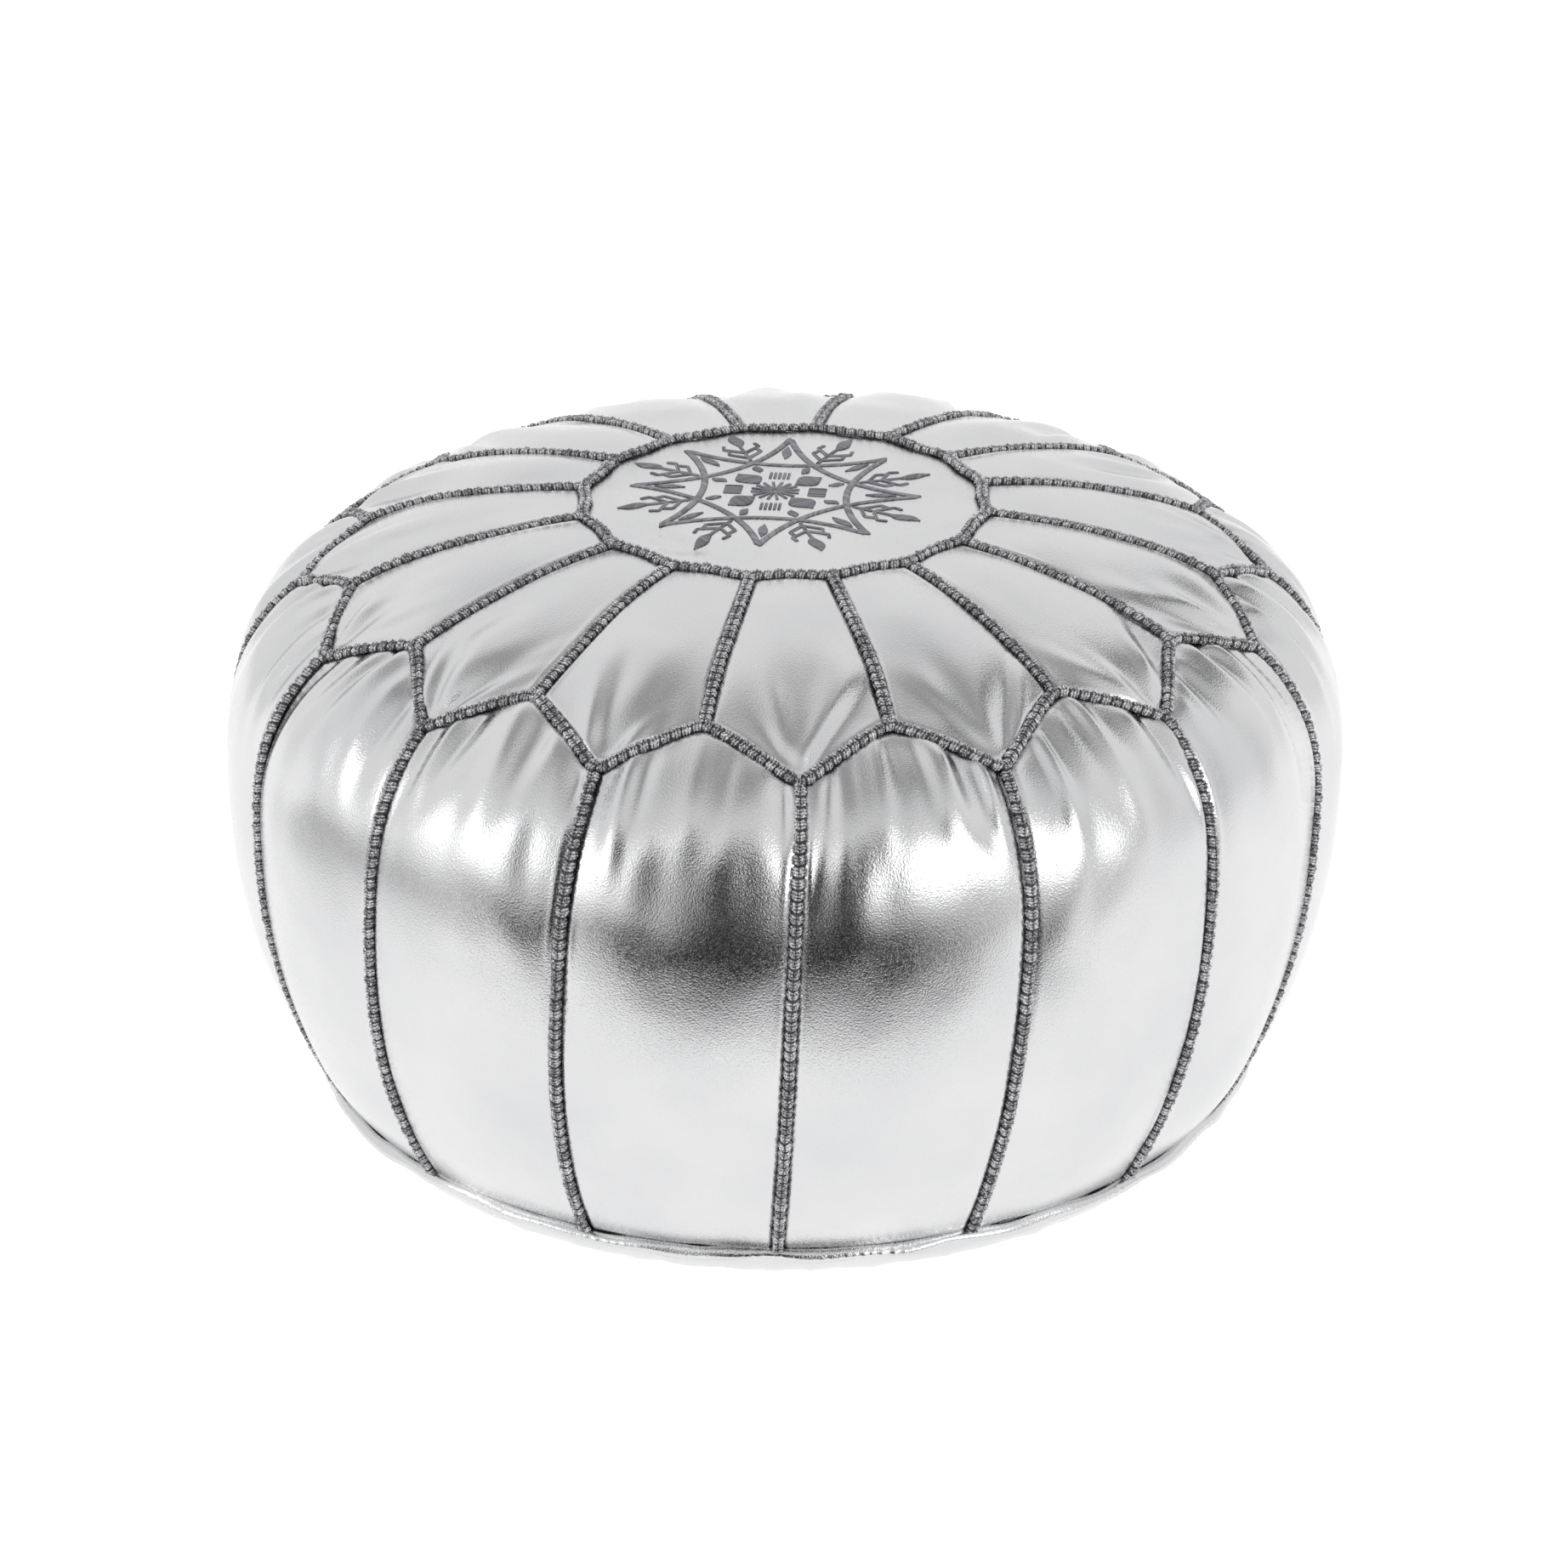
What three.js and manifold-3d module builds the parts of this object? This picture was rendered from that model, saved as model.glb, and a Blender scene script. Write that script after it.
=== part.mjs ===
// Round Moroccan leather pouf, in millimetres, +Z up.
// Origin: centre of the base, on the surface the pouf stands on. The front is -Y.
//
// The cover is sewn from a round medallion, a ring of top petals and a ring of side panels. The petals end
// in points that fit between the pointed arches of the side panels. A thick braid covers every seam.
// Below, a folded welt joins the sides to a leather base in two halves, closed by a zip along X. Cotton
// stuffing fills the cover. The base is dished round the zip, so that the slider and pull clear the floor.
import * as THREE from "three";
import { mergeVertices } from "three/addons/utils/BufferGeometryUtils.js";
import Module from "manifold-3d";

const wasm = await Module();
wasm.setup();

// ---- Driving dimensions ----

const panelCount = 16;
const height = 302; // top of the seam outline at the axis
const seamRadius = 270; // radius of the side seams at the widest place
const equatorHeight = 172; // height of that widest place
const shoulderExponent = 2.8; // squareness of the shoulder's superellipse
const sideExponent = 2.2; // how late the sides draw in towards the base
const medallionRadius = 98;
const petalLength = 115; // along the surface, from the medallion to an arch's peak
const archDrop = 31; // along the surface, from an arch's peak to its foot
const archExponent = 1.3; // over 1 rounds the arch's shoulders
const baseSeamRadius = 233;
const baseSeamHeight = 20;
const baseTwist = THREE.MathUtils.degToRad(2.4); // how far the side seams lean by the base

const leather = 1.6;
const seamGap = 0.6; // between two leather pieces that meet at a seam
const crown = 5; // how far a panel's middle stands out beyond its seams

const braidWidth = 7;
const braidHeight = 3.2;
const braidLift = 1.5; // from the seam's line to the braid's underside

const stuffingGap = 2.4; // from the leather to the stuffing
const fitGap = 0.3; // between pieces that rest on or run beside each other

const contactRing = 30; // width of the flat ring that the pouf stands on
const rimCurve = 19; // from that ring out to the base's seam
const dishDepth = 9;
const dishSlope = 12;
const weltWidth = 5;
const weltHeight = 3.6;
const weltRise = 0.6; // from the base seam up to the welt's top

const teethThickness = 2.2;
const teethWidth = 2.5; // of one row
const toothDepth = 1.1;
const toothPitch = 8;
const postThickness = 0.8; // the slider's post, which runs between the two rows
const postHalfLength = 2;
const tapeWidth = 14;
const tapeThickness = 0.6;
const tapeOverrun = 18; // how far the tapes run past the teeth at each end
const stopLength = 3;
const sliderLength = 12;
const sliderPlate = 1;
const bridgeGap = 1.9; // room under the slider's bridge for the pull's crossbar
const bridgeBar = 1;
const bridgeInset = 1.5; // from the slider's end to the bridge's
const bridgeHalfWidth = 0.8;
const pullLength = 30;
const pullWidth = 6.4;
const pullThickness = 1.1;
const pullClearance = 2; // from the opening that the pull lies in to the dish's slope
const armWidth = 1;
const armReach = 3; // from the bridge's end to the pull's tab

const starRadius = 70;
const starWaist = 36; // from the centre to the middle of a star's bowed side
const starBand = 3;
const threadHeight = 0.8;

const roundSegments = 64; // round the medallion, ring braid, welt and base
const overlap = 1; // how far one solid runs into the next that it is fused with

// ---- The outline of the seams, from the medallion's edge down to the base seam ----

// x is the radius and y the height. The first half is a superellipse shoulder, and the second half the side.
class SeamOutline extends THREE.Curve {
  getPoint(t, target = new THREE.Vector2()) {
    if (t < 0.5) {
      const start = Math.asin((medallionRadius / seamRadius) ** (shoulderExponent / 2));
      const angle = THREE.MathUtils.lerp(start, Math.PI / 2, 2 * t);
      const radius = seamRadius * Math.sin(angle) ** (2 / shoulderExponent);
      const rise = Math.max(Math.cos(angle), 0) ** (2 / shoulderExponent);
      return target.set(radius, equatorHeight + (height - equatorHeight) * rise);
    }
    const down = 2 * t - 1;
    const radius = seamRadius - (seamRadius - baseSeamRadius) * down ** sideExponent;
    return target.set(radius, THREE.MathUtils.lerp(equatorHeight, baseSeamHeight, down));
  }
}

const outline = new SeamOutline();
outline.arcLengthDivisions = 600;
const fullGirth = outline.getLength();
const pitch = (2 * Math.PI) / panelCount;
const peakGirth = petalLength;
const footGirth = petalLength + archDrop;
const medallionTop = outline.getPoint(0).y;
const front = -Math.PI / 2; // a side seam runs down the front

// A point `offset` outside the seams' surface, at a distance `girth` along it from the medallion's edge.
function onSurface(azimuth, girth, offset) {
  const along = THREE.MathUtils.clamp(girth / fullGirth, 0, 1);
  const place = outline.getPointAt(along);
  const slope = outline.getTangentAt(along);
  const radius = place.x - slope.y * offset;
  const level = place.y + slope.x * offset;
  const lean = baseTwist * THREE.MathUtils.smoothstep(girth, footGirth, fullGirth);
  return new THREE.Vector3(
    radius * Math.cos(azimuth - lean),
    radius * Math.sin(azimuth - lean),
    level,
  );
}

function surfaceRadius(girth) {
  return outline.getPointAt(THREE.MathUtils.clamp(girth / fullGirth, 0, 1)).x;
}

// How far down the surface the zigzag seam lies: a peak above each petal seam, a foot above each side seam.
function zigzagGirth(azimuth) {
  const turns = (azimuth - front) / pitch - 0.5;
  const fromPeak = 2 * Math.abs(turns - Math.round(turns));
  return peakGirth + archDrop * fromPeak ** archExponent;
}

// ---- Making solids ----

const materials = {
  silverLeather: new THREE.MeshStandardMaterial({ color: 0xc9cacc, roughness: 0.28, metalness: 0.9 }),
  sabraThread: new THREE.MeshStandardMaterial({ color: 0x5b5c60, roughness: 0.6, metalness: 0 }),
  cotton: new THREE.MeshStandardMaterial({ color: 0xe6e0d2, roughness: 0.95, metalness: 0 }),
  zipTape: new THREE.MeshStandardMaterial({ color: 0x2c2c2e, roughness: 0.9, metalness: 0 }),
  zipMetal: new THREE.MeshStandardMaterial({ color: 0xb3b4b8, roughness: 0.35, metalness: 1 }),
};

const pouf = new THREE.Group();

function addPiece(name, geometry, material) {
  const piece = new THREE.Mesh(geometry, material);
  piece.name = name;
  pouf.add(piece);
  return piece;
}

// Moves every vertex of a geometry: place(x, y, z) gives the new position as a Vector3.
function warp(geometry, place) {
  const position = geometry.getAttribute("position");
  for (let i = 0; i < position.count; i++) {
    const moved = place(position.getX(i), position.getY(i), position.getZ(i));
    position.setXYZ(i, moved.x, moved.y, moved.z);
  }
  return geometry;
}

function toSolid(geometry) {
  const bare = geometry.clone();
  bare.deleteAttribute("normal");
  bare.deleteAttribute("uv");
  const merged = mergeVertices(bare, 1e-3);
  const mesh = new wasm.Mesh({
    numProp: 3,
    vertProperties: merged.getAttribute("position").array,
    triVerts: new Uint32Array(merged.index.array),
  });
  return new wasm.Manifold(mesh);
}

function toGeometry(solid) {
  const mesh = solid.getMesh();
  const geometry = new THREE.BufferGeometry();
  geometry.setAttribute("position", new THREE.BufferAttribute(mesh.vertProperties, 3));
  geometry.setIndex(new THREE.BufferAttribute(mesh.triVerts, 1));
  return geometry;
}

function fuse(geometries) {
  return toGeometry(geometries.map(toSolid).reduce((whole, next) => whole.add(next)));
}

function cut(geometry, tools) {
  return toGeometry(tools.map(toSolid).reduce((whole, next) => whole.subtract(next), toSolid(geometry)));
}

// A box from one corner to the other.
function block(low, high) {
  const size = high.map((value, i) => value - low[i]);
  const middle = high.map((value, i) => (value + low[i]) / 2);
  return new THREE.BoxGeometry(...size).translate(...middle);
}

// A ring round Z from a closed outline of [radius, height] points.
function ring(points, segments) {
  const closed = [...points, points[0]].map(([radius, level]) => new THREE.Vector2(radius, level));
  return new THREE.LatheGeometry(closed, segments).rotateX(Math.PI / 2);
}

// A flat band along a line. line(t) gives a point and the surface's normal there, for t from 0 to 1.
function band(line, width, thickness, steps) {
  const ahead = 1e-3;
  return warp(new THREE.BoxGeometry(1, 1, 1, 1, steps, 1), (x, y, z) => {
    const t = y + 0.5;
    const { point, normal } = line(t);
    const along = line(Math.min(t + ahead, 1)).point.sub(line(Math.max(t - ahead, 0)).point).normalize();
    const side = new THREE.Vector3().crossVectors(along, normal).normalize();
    return point.clone().addScaledVector(side, x * width).addScaledVector(normal, (z + 0.5) * thickness);
  });
}

// A braid along a seam. seam(t) gives [azimuth, girth] for t from 0 to 1.
function braid(seam, steps) {
  return band((t) => {
    const [azimuth, girth] = seam(t);
    const point = onSurface(azimuth, girth, braidLift);
    const normal = onSurface(azimuth, girth, braidLift + 1).sub(point);
    return { point, normal };
  }, braidWidth, braidHeight, steps);
}

// ---- Leather panels ----

const panelColumns = 6;
const petalRows = 4;
const sideRows = 7;

// Rows lie closer together at the shoulder, where the outline bends most.
function sideRow(from, to, down) {
  return THREE.MathUtils.lerp(from, to, down ** 1.35);
}

// A panel between two seams. top and bottom give the girth of its ends at an azimuth.
function leatherPanel(middle, top, bottom, rows, spacing) {
  const box = new THREE.BoxGeometry(1, 1, 1, panelColumns, rows, 1);
  return warp(box, (x, y, z) => {
    const down = 0.5 - y;
    const from = top(middle + x * pitch);
    const to = bottom(middle + x * pitch);
    const girth = spacing(from, to, down);
    const gapAngle = seamGap / surfaceRadius(girth);
    const bulge = crown * (1 - (2 * x) ** 2) * (1 - (2 * y) ** 4);
    const inward = z < 0 ? leather : 0;
    return onSurface(middle + x * (pitch - gapAngle), girth, bulge - inward);
  });
}

for (let i = 0; i < panelCount; i++) {
  const number = String(i + 1).padStart(2, "0");
  const petal = leatherPanel(
    front + i * pitch,
    () => seamGap,
    (azimuth) => zigzagGirth(azimuth) - seamGap,
    petalRows,
    THREE.MathUtils.lerp,
  );
  addPiece("top_petal_" + number, petal, materials.silverLeather);

  const side = leatherPanel(
    front + (i + 0.5) * pitch,
    (azimuth) => zigzagGirth(azimuth) + seamGap,
    () => fullGirth - seamGap,
    sideRows,
    sideRow,
  );
  addPiece("side_panel_" + number, side, materials.silverLeather);
}

// ---- Medallion and its embroidered star ----

const discRadius = medallionRadius - seamGap;
const medallion = new THREE.CylinderGeometry(discRadius, discRadius, leather, roundSegments);
medallion.rotateX(Math.PI / 2).translate(0, 0, medallionTop - leather / 2);
addPiece("medallion", medallion, materials.silverLeather);

// Two squares with bowed sides, an eighth of a turn apart, make the eight points.
const starPoints = 8;
const starSides = Array.from({ length: starPoints }, (_, i) => {
  const corner = (turn) => {
    const angle = (2 * Math.PI * turn) / starPoints + Math.PI / starPoints;
    return new THREE.Vector3(Math.cos(angle), Math.sin(angle), 0);
  };
  const level = medallionTop + fitGap;
  const from = corner(i).multiplyScalar(starRadius);
  const to = corner(i + 2).multiplyScalar(starRadius);
  const straightWaist = starRadius * Math.cos(Math.PI / 4);
  const bow = corner(i + 1).multiplyScalar(2 * starWaist - straightWaist);
  const side = new THREE.QuadraticBezierCurve3(from, bow, to);
  const up = new THREE.Vector3(0, 0, 1);
  const line = (t) => ({ point: side.getPoint(t).setZ(level), normal: up });
  return band(line, starBand, threadHeight, 6);
});
addPiece("star_embroidery", fuse(starSides), materials.sabraThread);

// ---- Braids over the seams ----

const ringLevel = medallionTop + braidLift;
const ringBraid = ring([
  [medallionRadius - braidWidth / 2, ringLevel],
  [medallionRadius + braidWidth / 2, ringLevel],
  [medallionRadius + braidWidth / 2, ringLevel + braidHeight],
  [medallionRadius - braidWidth / 2, ringLevel + braidHeight],
], roundSegments);

const petalBraids = Array.from({ length: panelCount }, (_, i) => {
  const azimuth = front + (i + 0.5) * pitch;
  const end = peakGirth - braidWidth;
  return braid((t) => [azimuth, THREE.MathUtils.lerp(0, end, t)], petalRows);
});
addPiece("top_braid", fuse([ringBraid, ...petalBraids]), materials.sabraThread);

// The zigzag is a ring whose points are moved along the surface, so its corners are mitred.
const legSlope = Math.atan2(archDrop, (surfaceRadius(footGirth) * pitch) / 2);
const zigzagWidth = braidWidth / Math.cos(legSlope);
const unitInner = 1;
const unitOuter = 2;
const zigzagBraid = warp(ring([
  [unitInner, 0],
  [unitOuter, 0],
  [unitOuter, 1],
  [unitInner, 1],
], panelCount * panelColumns), (x, y, z) => {
  const azimuth = Math.atan2(y, x);
  const across = Math.hypot(x, y) - (unitInner + unitOuter) / 2;
  const girth = zigzagGirth(azimuth) + across * zigzagWidth;
  return onSurface(azimuth, girth, braidLift + z * braidHeight);
});
// The side braids stop where their outer corners just clear the welt.
const baseSlope = outline.getTangentAt(1);
const cornerDrop = (braidLift + braidHeight) * Math.abs(baseSlope.x);
const braidTail = (weltRise + fitGap + cornerDrop) / Math.abs(baseSlope.y);
const sideBraids = Array.from({ length: panelCount }, (_, i) => {
  const azimuth = front + i * pitch;
  const end = fullGirth - braidTail;
  return braid((t) => [azimuth, sideRow(footGirth, end, t)], sideRows);
});
const shoulderBraid = fuse([zigzagBraid, ...sideBraids]);
addPiece("shoulder_braid", shoulderBraid, materials.sabraThread);

// ---- Base: two leather halves, dished round the zip ----

const flatRadius = baseSeamRadius - rimCurve; // outside of the ring the pouf stands on
const dishOuter = flatRadius - contactRing;
const dishRadius = dishOuter - dishSlope;
const baseTop = dishDepth + leather;
const rimHeight = baseSeamHeight - 2 * seamGap;
const rimRadius = baseSeamRadius - seamGap;

// The rim curls up from the flat ring in a quarter ellipse; inset is how far inside the leather's outer face.
function rimPoints(inset) {
  const steps = 3;
  return Array.from({ length: steps }, (_, i) => {
    const angle = ((i + 1) / steps) * (Math.PI / 2);
    const radius = flatRadius + (rimRadius - flatRadius - inset) * Math.sin(angle);
    const level = inset + (rimHeight - inset) * (1 - Math.cos(angle));
    return [radius, level];
  });
}

const basePan = new THREE.LatheGeometry([
  [0, dishDepth],
  [dishRadius, dishDepth],
  [dishOuter, 0],
  [flatRadius, 0],
  ...rimPoints(0),
  ...rimPoints(leather).reverse(),
  [flatRadius, leather],
  [dishOuter + leather / 2, leather],
  [dishRadius + leather / 2, baseTop],
  [0, baseTop],
].map(([radius, level]) => new THREE.Vector2(radius, level)), roundSegments).rotateX(Math.PI / 2);

const sliderHalfWidth = postThickness / 2 + fitGap + teethWidth + 2 * fitGap + sliderPlate;
const openingHalfWidth = sliderHalfWidth + 2 * fitGap;
const zipLength = 2 * (dishRadius - pullLength - pullClearance);
const openingHalfLength = zipLength / 2 + stopLength + 2 * fitGap;

const below = -overlap;
const far = baseSeamRadius + overlap;
const above = baseSeamHeight + overlap;
const zipOpening = block(
  [-openingHalfLength, -openingHalfWidth, below],
  [openingHalfLength, openingHalfWidth, above],
);
const rearSide = block([-far, -seamGap / 2, below], [far, far, above]);
const frontSide = block([-far, -far, below], [far, seamGap / 2, above]);
addPiece("base_front_half", cut(basePan, [rearSide, zipOpening]), materials.silverLeather);
addPiece("base_rear_half", cut(basePan, [frontSide, zipOpening]), materials.silverLeather);

const weltInner = baseSeamRadius + 2 * seamGap;
const weltTop = baseSeamHeight + weltRise;
const baseWelt = ring([
  [weltInner, weltTop - weltHeight],
  [weltInner + weltWidth, weltTop - weltHeight],
  [weltInner + weltWidth, weltTop - weltHeight / 3],
  [weltInner, weltTop],
], roundSegments);
addPiece("base_welt", baseWelt, materials.silverLeather);

// ---- Zip ----

const teethLow = baseTop + fitGap + tapeThickness / 2 - teethThickness / 2;
const teethHigh = teethLow + teethThickness;
const rowInner = postThickness / 2 + fitGap;
const rowOuter = rowInner + teethWidth;
const tapeLow = baseTop + fitGap;
const tapeHigh = tapeLow + tapeThickness;
const tapeInner = rowOuter + fitGap;
const tapeHalfLength = zipLength / 2 + tapeOverrun;

// One row of teeth: a comb whose teeth face the other row. side is -1 in front and 1 behind.
function teethRow(side) {
  const comb = new THREE.Shape();
  const half = zipLength / 2;
  const count = Math.floor(zipLength / toothPitch);
  comb.moveTo(-half, rowOuter);
  for (let i = 0; i < count; i++) {
    const start = -half + (i + 0.25) * (zipLength / count);
    const end = start + zipLength / count / 2;
    comb.lineTo(start, rowInner + toothDepth);
    comb.lineTo(start, rowInner);
    comb.lineTo(end, rowInner);
    comb.lineTo(end, rowInner + toothDepth);
  }
  comb.lineTo(half, rowOuter);
  const solid = new THREE.ExtrudeGeometry(comb, { depth: teethThickness, bevelEnabled: false });
  if (side < 0) solid.rotateZ(Math.PI);
  return solid.translate(0, 0, teethLow);
}

for (const [place, side] of [["front", -1], ["rear", 1]]) {
  const near = side * tapeInner;
  const away = side * (tapeInner + tapeWidth);
  const tape = block(
    [-tapeHalfLength, Math.min(near, away), tapeLow],
    [tapeHalfLength, Math.max(near, away), tapeHigh],
  );
  addPiece("zip_tape_" + place, tape, materials.zipTape);
  addPiece("zip_teeth_" + place, teethRow(side), materials.zipMetal);
}

for (const [place, side] of [["closed", 1], ["open", -1]]) {
  const near = side * (zipLength / 2 + fitGap);
  const away = near + side * stopLength;
  const stop = block(
    [Math.min(near, away), -rowOuter, teethLow],
    [Math.max(near, away), rowOuter, teethHigh],
  );
  addPiece("zip_stop_" + place + "_end", stop, materials.zipMetal);
}

// The slider: a plate outside and a plate inside the cover, joined by a post between the rows of teeth.
// It stands at the closed end. The bridge below the outer plate holds the pull's crossbar.
const sliderX = (zipLength - sliderLength) / 2;
const outerTop = teethLow - fitGap;
const outerLow = outerTop - sliderPlate;
const innerLow = teethHigh + fitGap;
const innerHigh = innerLow + sliderPlate;
const barTop = outerLow - bridgeGap;
const halfSlider = sliderLength / 2;
const flangeInner = sliderHalfWidth - sliderPlate;
const bridgeHalf = halfSlider - bridgeInset;

const flanges = [-1, 1].flatMap((side) => {
  const low = Math.min(side * flangeInner, side * sliderHalfWidth);
  const high = Math.max(side * flangeInner, side * sliderHalfWidth);
  return [
    block([-halfSlider, low, outerLow], [halfSlider, high, tapeLow - fitGap]),
    block([-halfSlider, low, tapeHigh + fitGap], [halfSlider, high, innerHigh]),
  ];
});
const bridgeLegs = [-1, 1].map((end) => {
  const low = Math.min(end * bridgeHalf, end * (bridgeHalf - bridgeBar));
  const high = Math.max(end * bridgeHalf, end * (bridgeHalf - bridgeBar));
  return block([low, -bridgeHalfWidth, barTop - bridgeBar], [high, bridgeHalfWidth, outerTop]);
});
const slider = fuse([
  block([-halfSlider, -sliderHalfWidth, outerLow], [halfSlider, sliderHalfWidth, outerTop]),
  block([-halfSlider, -sliderHalfWidth, innerLow], [halfSlider, sliderHalfWidth, innerHigh]),
  block([-postHalfLength, -postThickness / 2, outerLow], [postHalfLength, postThickness / 2, innerHigh]),
  block([-bridgeHalf, -bridgeHalfWidth, barTop - bridgeBar], [bridgeHalf, bridgeHalfWidth, barTop]),
  ...flanges,
  ...bridgeLegs,
]);
addPiece("zip_slider", slider, materials.zipMetal).position.x = sliderX;

// The pull: a round crossbar through the bridge, two arms past it, and a flat tab that lies along -X.
const armLength = bridgeHalf + armReach;
const crossbar = new THREE.CylinderGeometry(pullThickness / 2, pullThickness / 2, pullWidth, 8);
const arms = [-1, 1].map((side) => {
  const edges = [side * (pullWidth / 2), side * (pullWidth / 2 - armWidth)];
  return block(
    [-armLength - overlap, Math.min(...edges), -pullThickness / 2],
    [0, Math.max(...edges), pullThickness / 2],
  );
});
const tab = block(
  [-pullLength, -pullWidth / 2, -pullThickness / 2],
  [-armLength, pullWidth / 2, pullThickness / 2],
);
const pull = fuse([crossbar, ...arms, tab]);
addPiece("zip_pull", pull, materials.zipMetal).position.set(sliderX, 0, barTop + bridgeGap / 2);

// ---- Stuffing ----

const stuffingInset = leather + stuffingGap;
const stuffingRows = 9;
const basePinch = 2; // how far the stuffing draws in at the base seam
const baseLoose = 1; // extra room over the base and the zip
const stuffingSide = Array.from({ length: stuffingRows }, (_, i) => {
  const girth = fullGirth * (i / stuffingRows) + seamGap;
  const point = onSurface(0, girth, -stuffingInset);
  return [Math.hypot(point.x, point.y), point.z];
});
const stuffingOutline = [
  [0, medallionTop - stuffingInset],
  ...stuffingSide,
  [baseSeamRadius - stuffingInset - basePinch, baseSeamHeight + stuffingGap],
  [flatRadius, stuffingInset + baseLoose],
  [dishOuter + stuffingInset, stuffingInset + baseLoose],
  [dishRadius + stuffingInset, innerHigh + baseLoose],
  [0, innerHigh + baseLoose],
].reverse();
const stuffing = new THREE.LatheGeometry(
  stuffingOutline.map(([radius, level]) => new THREE.Vector2(radius, level)),
  2 * panelCount,
).rotateX(Math.PI / 2);
addPiece("cotton_stuffing", stuffing, materials.cotton);

export default pouf;
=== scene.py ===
import math

import bmesh
import bpy
import numpy as np
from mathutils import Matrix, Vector


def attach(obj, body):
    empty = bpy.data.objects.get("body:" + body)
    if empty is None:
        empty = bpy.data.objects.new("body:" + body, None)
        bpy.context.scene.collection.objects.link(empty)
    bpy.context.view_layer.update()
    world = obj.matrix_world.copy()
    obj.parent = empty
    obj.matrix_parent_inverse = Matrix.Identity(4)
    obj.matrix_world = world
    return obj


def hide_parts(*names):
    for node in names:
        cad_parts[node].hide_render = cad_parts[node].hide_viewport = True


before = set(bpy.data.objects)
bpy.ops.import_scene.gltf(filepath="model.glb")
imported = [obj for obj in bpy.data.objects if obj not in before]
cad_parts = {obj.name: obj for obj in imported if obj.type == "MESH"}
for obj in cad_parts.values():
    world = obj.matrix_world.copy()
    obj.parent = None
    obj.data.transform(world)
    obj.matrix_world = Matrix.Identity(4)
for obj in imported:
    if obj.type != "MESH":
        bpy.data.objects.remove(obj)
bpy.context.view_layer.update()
scene = bpy.context.scene


# ---- Studio ----
# A pale seamless floor under soft light. Black and grey cards and small soft boxes stand round the pouf,
# and show only as reflections in the silver leather.

camera_data = bpy.data.cameras.new("camera")
camera_data.lens = 96.15
camera_data.sensor_width = 36
camera = bpy.data.objects.new("camera", camera_data)
camera.location = (-0.0546, -1.883, 1.043)
camera.rotation_euler = (math.radians(64.57), 0, math.radians(-1.66))
scene.collection.objects.link(camera)
scene.camera = camera
scene.view_settings.view_transform = "Standard"


def new_material(name):
    material = bpy.data.materials.new(name)
    material.use_nodes = True
    material.node_tree.nodes.clear()
    return material, material.node_tree


def add_node(tree, kind, settings=None, **inputs):
    """A shader or geometry node. settings are its own options. inputs are its sockets, with _ for a space."""
    node = tree.nodes.new(kind)
    for key, value in (settings or {}).items():
        setattr(node, key, value)
    for key, value in inputs.items():
        name = key.replace("_", " ")
        socket = next(s for s in node.inputs if s.name == name and s.enabled)
        if isinstance(value, bpy.types.NodeSocket):
            tree.links.new(value, socket)
        else:
            socket.default_value = value
    return node


def mesh_object(name, points, faces, material=None, smooth=True):
    mesh = bpy.data.meshes.new(name)
    mesh.from_pydata([tuple(p) for p in points], [], [tuple(int(i) for i in f) for f in faces])
    mesh.validate()
    if material is not None:
        mesh.materials.append(material)
    mesh.polygons.foreach_set("use_smooth", [smooth] * len(mesh.polygons))
    piece = bpy.data.objects.new(name, mesh)
    scene.collection.objects.link(piece)
    return piece


floor_paper, tree = new_material("floor_paper")
paper = add_node(tree, "ShaderNodeBsdfPrincipled", Base_Color=(0.93, 0.93, 0.93, 1), Roughness=0.9,
                 Emission_Color=(1, 1, 1, 1), Emission_Strength=0.45)
add_node(tree, "ShaderNodeOutputMaterial", Surface=paper.outputs["BSDF"])
floor = mesh_object("floor", [(-9, -9, -0.0004), (9, -9, -0.0004), (9, 9, -0.0004), (-9, 9, -0.0004)],
                    [(0, 1, 2, 3)], floor_paper)
floor.visible_glossy = False


def colour_ramp(tree, fac, stops):
    """A ramp through greys or colours. stops are pairs of a position and a grey or a colour."""
    ramp = add_node(tree, "ShaderNodeValToRGB", Fac=fac)
    elements = ramp.color_ramp.elements
    while len(elements) < len(stops):
        elements.new(0.5)
    for element, (position, colour) in zip(elements, stops):
        element.position = position
        element.color = (colour, colour, colour, 1) if isinstance(colour, float) else (*colour, 1)
    return ramp.outputs["Color"]


world = bpy.data.worlds.new("studio")
scene.world = world
world.use_nodes = True
tree = world.node_tree
tree.nodes.clear()
towards = add_node(tree, "ShaderNodeTexCoord").outputs["Object"]
direction = add_node(tree, "ShaderNodeSeparateXYZ", Vector=towards)
back_wall = colour_ramp(tree, direction.outputs["Z"],
                        [(0.0, 0.95), (0.70, 0.98), (0.86, 0.80), (0.94, 0.52), (1.0, 0.38)])
front_wall = colour_ramp(tree, direction.outputs["Z"],
                         [(0.0, 0.70), (0.35, 0.66), (0.65, 0.85), (0.88, 0.78), (0.95, 0.50), (1.0, 0.38)])
frontness = add_node(tree, "ShaderNodeMapRange", Value=direction.outputs["Y"], From_Min=0.1, From_Max=-0.5)
walls = add_node(tree, "ShaderNodeMix", {"data_type": "RGBA"}, Factor=frontness.outputs["Result"],
                 A=back_wall, B=front_wall)
wall_colour = next(output for output in walls.outputs if output.enabled)
graded = add_node(tree, "ShaderNodeBackground", Color=wall_colour, Strength=1.0)
white = add_node(tree, "ShaderNodeBackground", Color=(1, 1, 1, 1), Strength=1.25)
rays = add_node(tree, "ShaderNodeLightPath")
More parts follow.
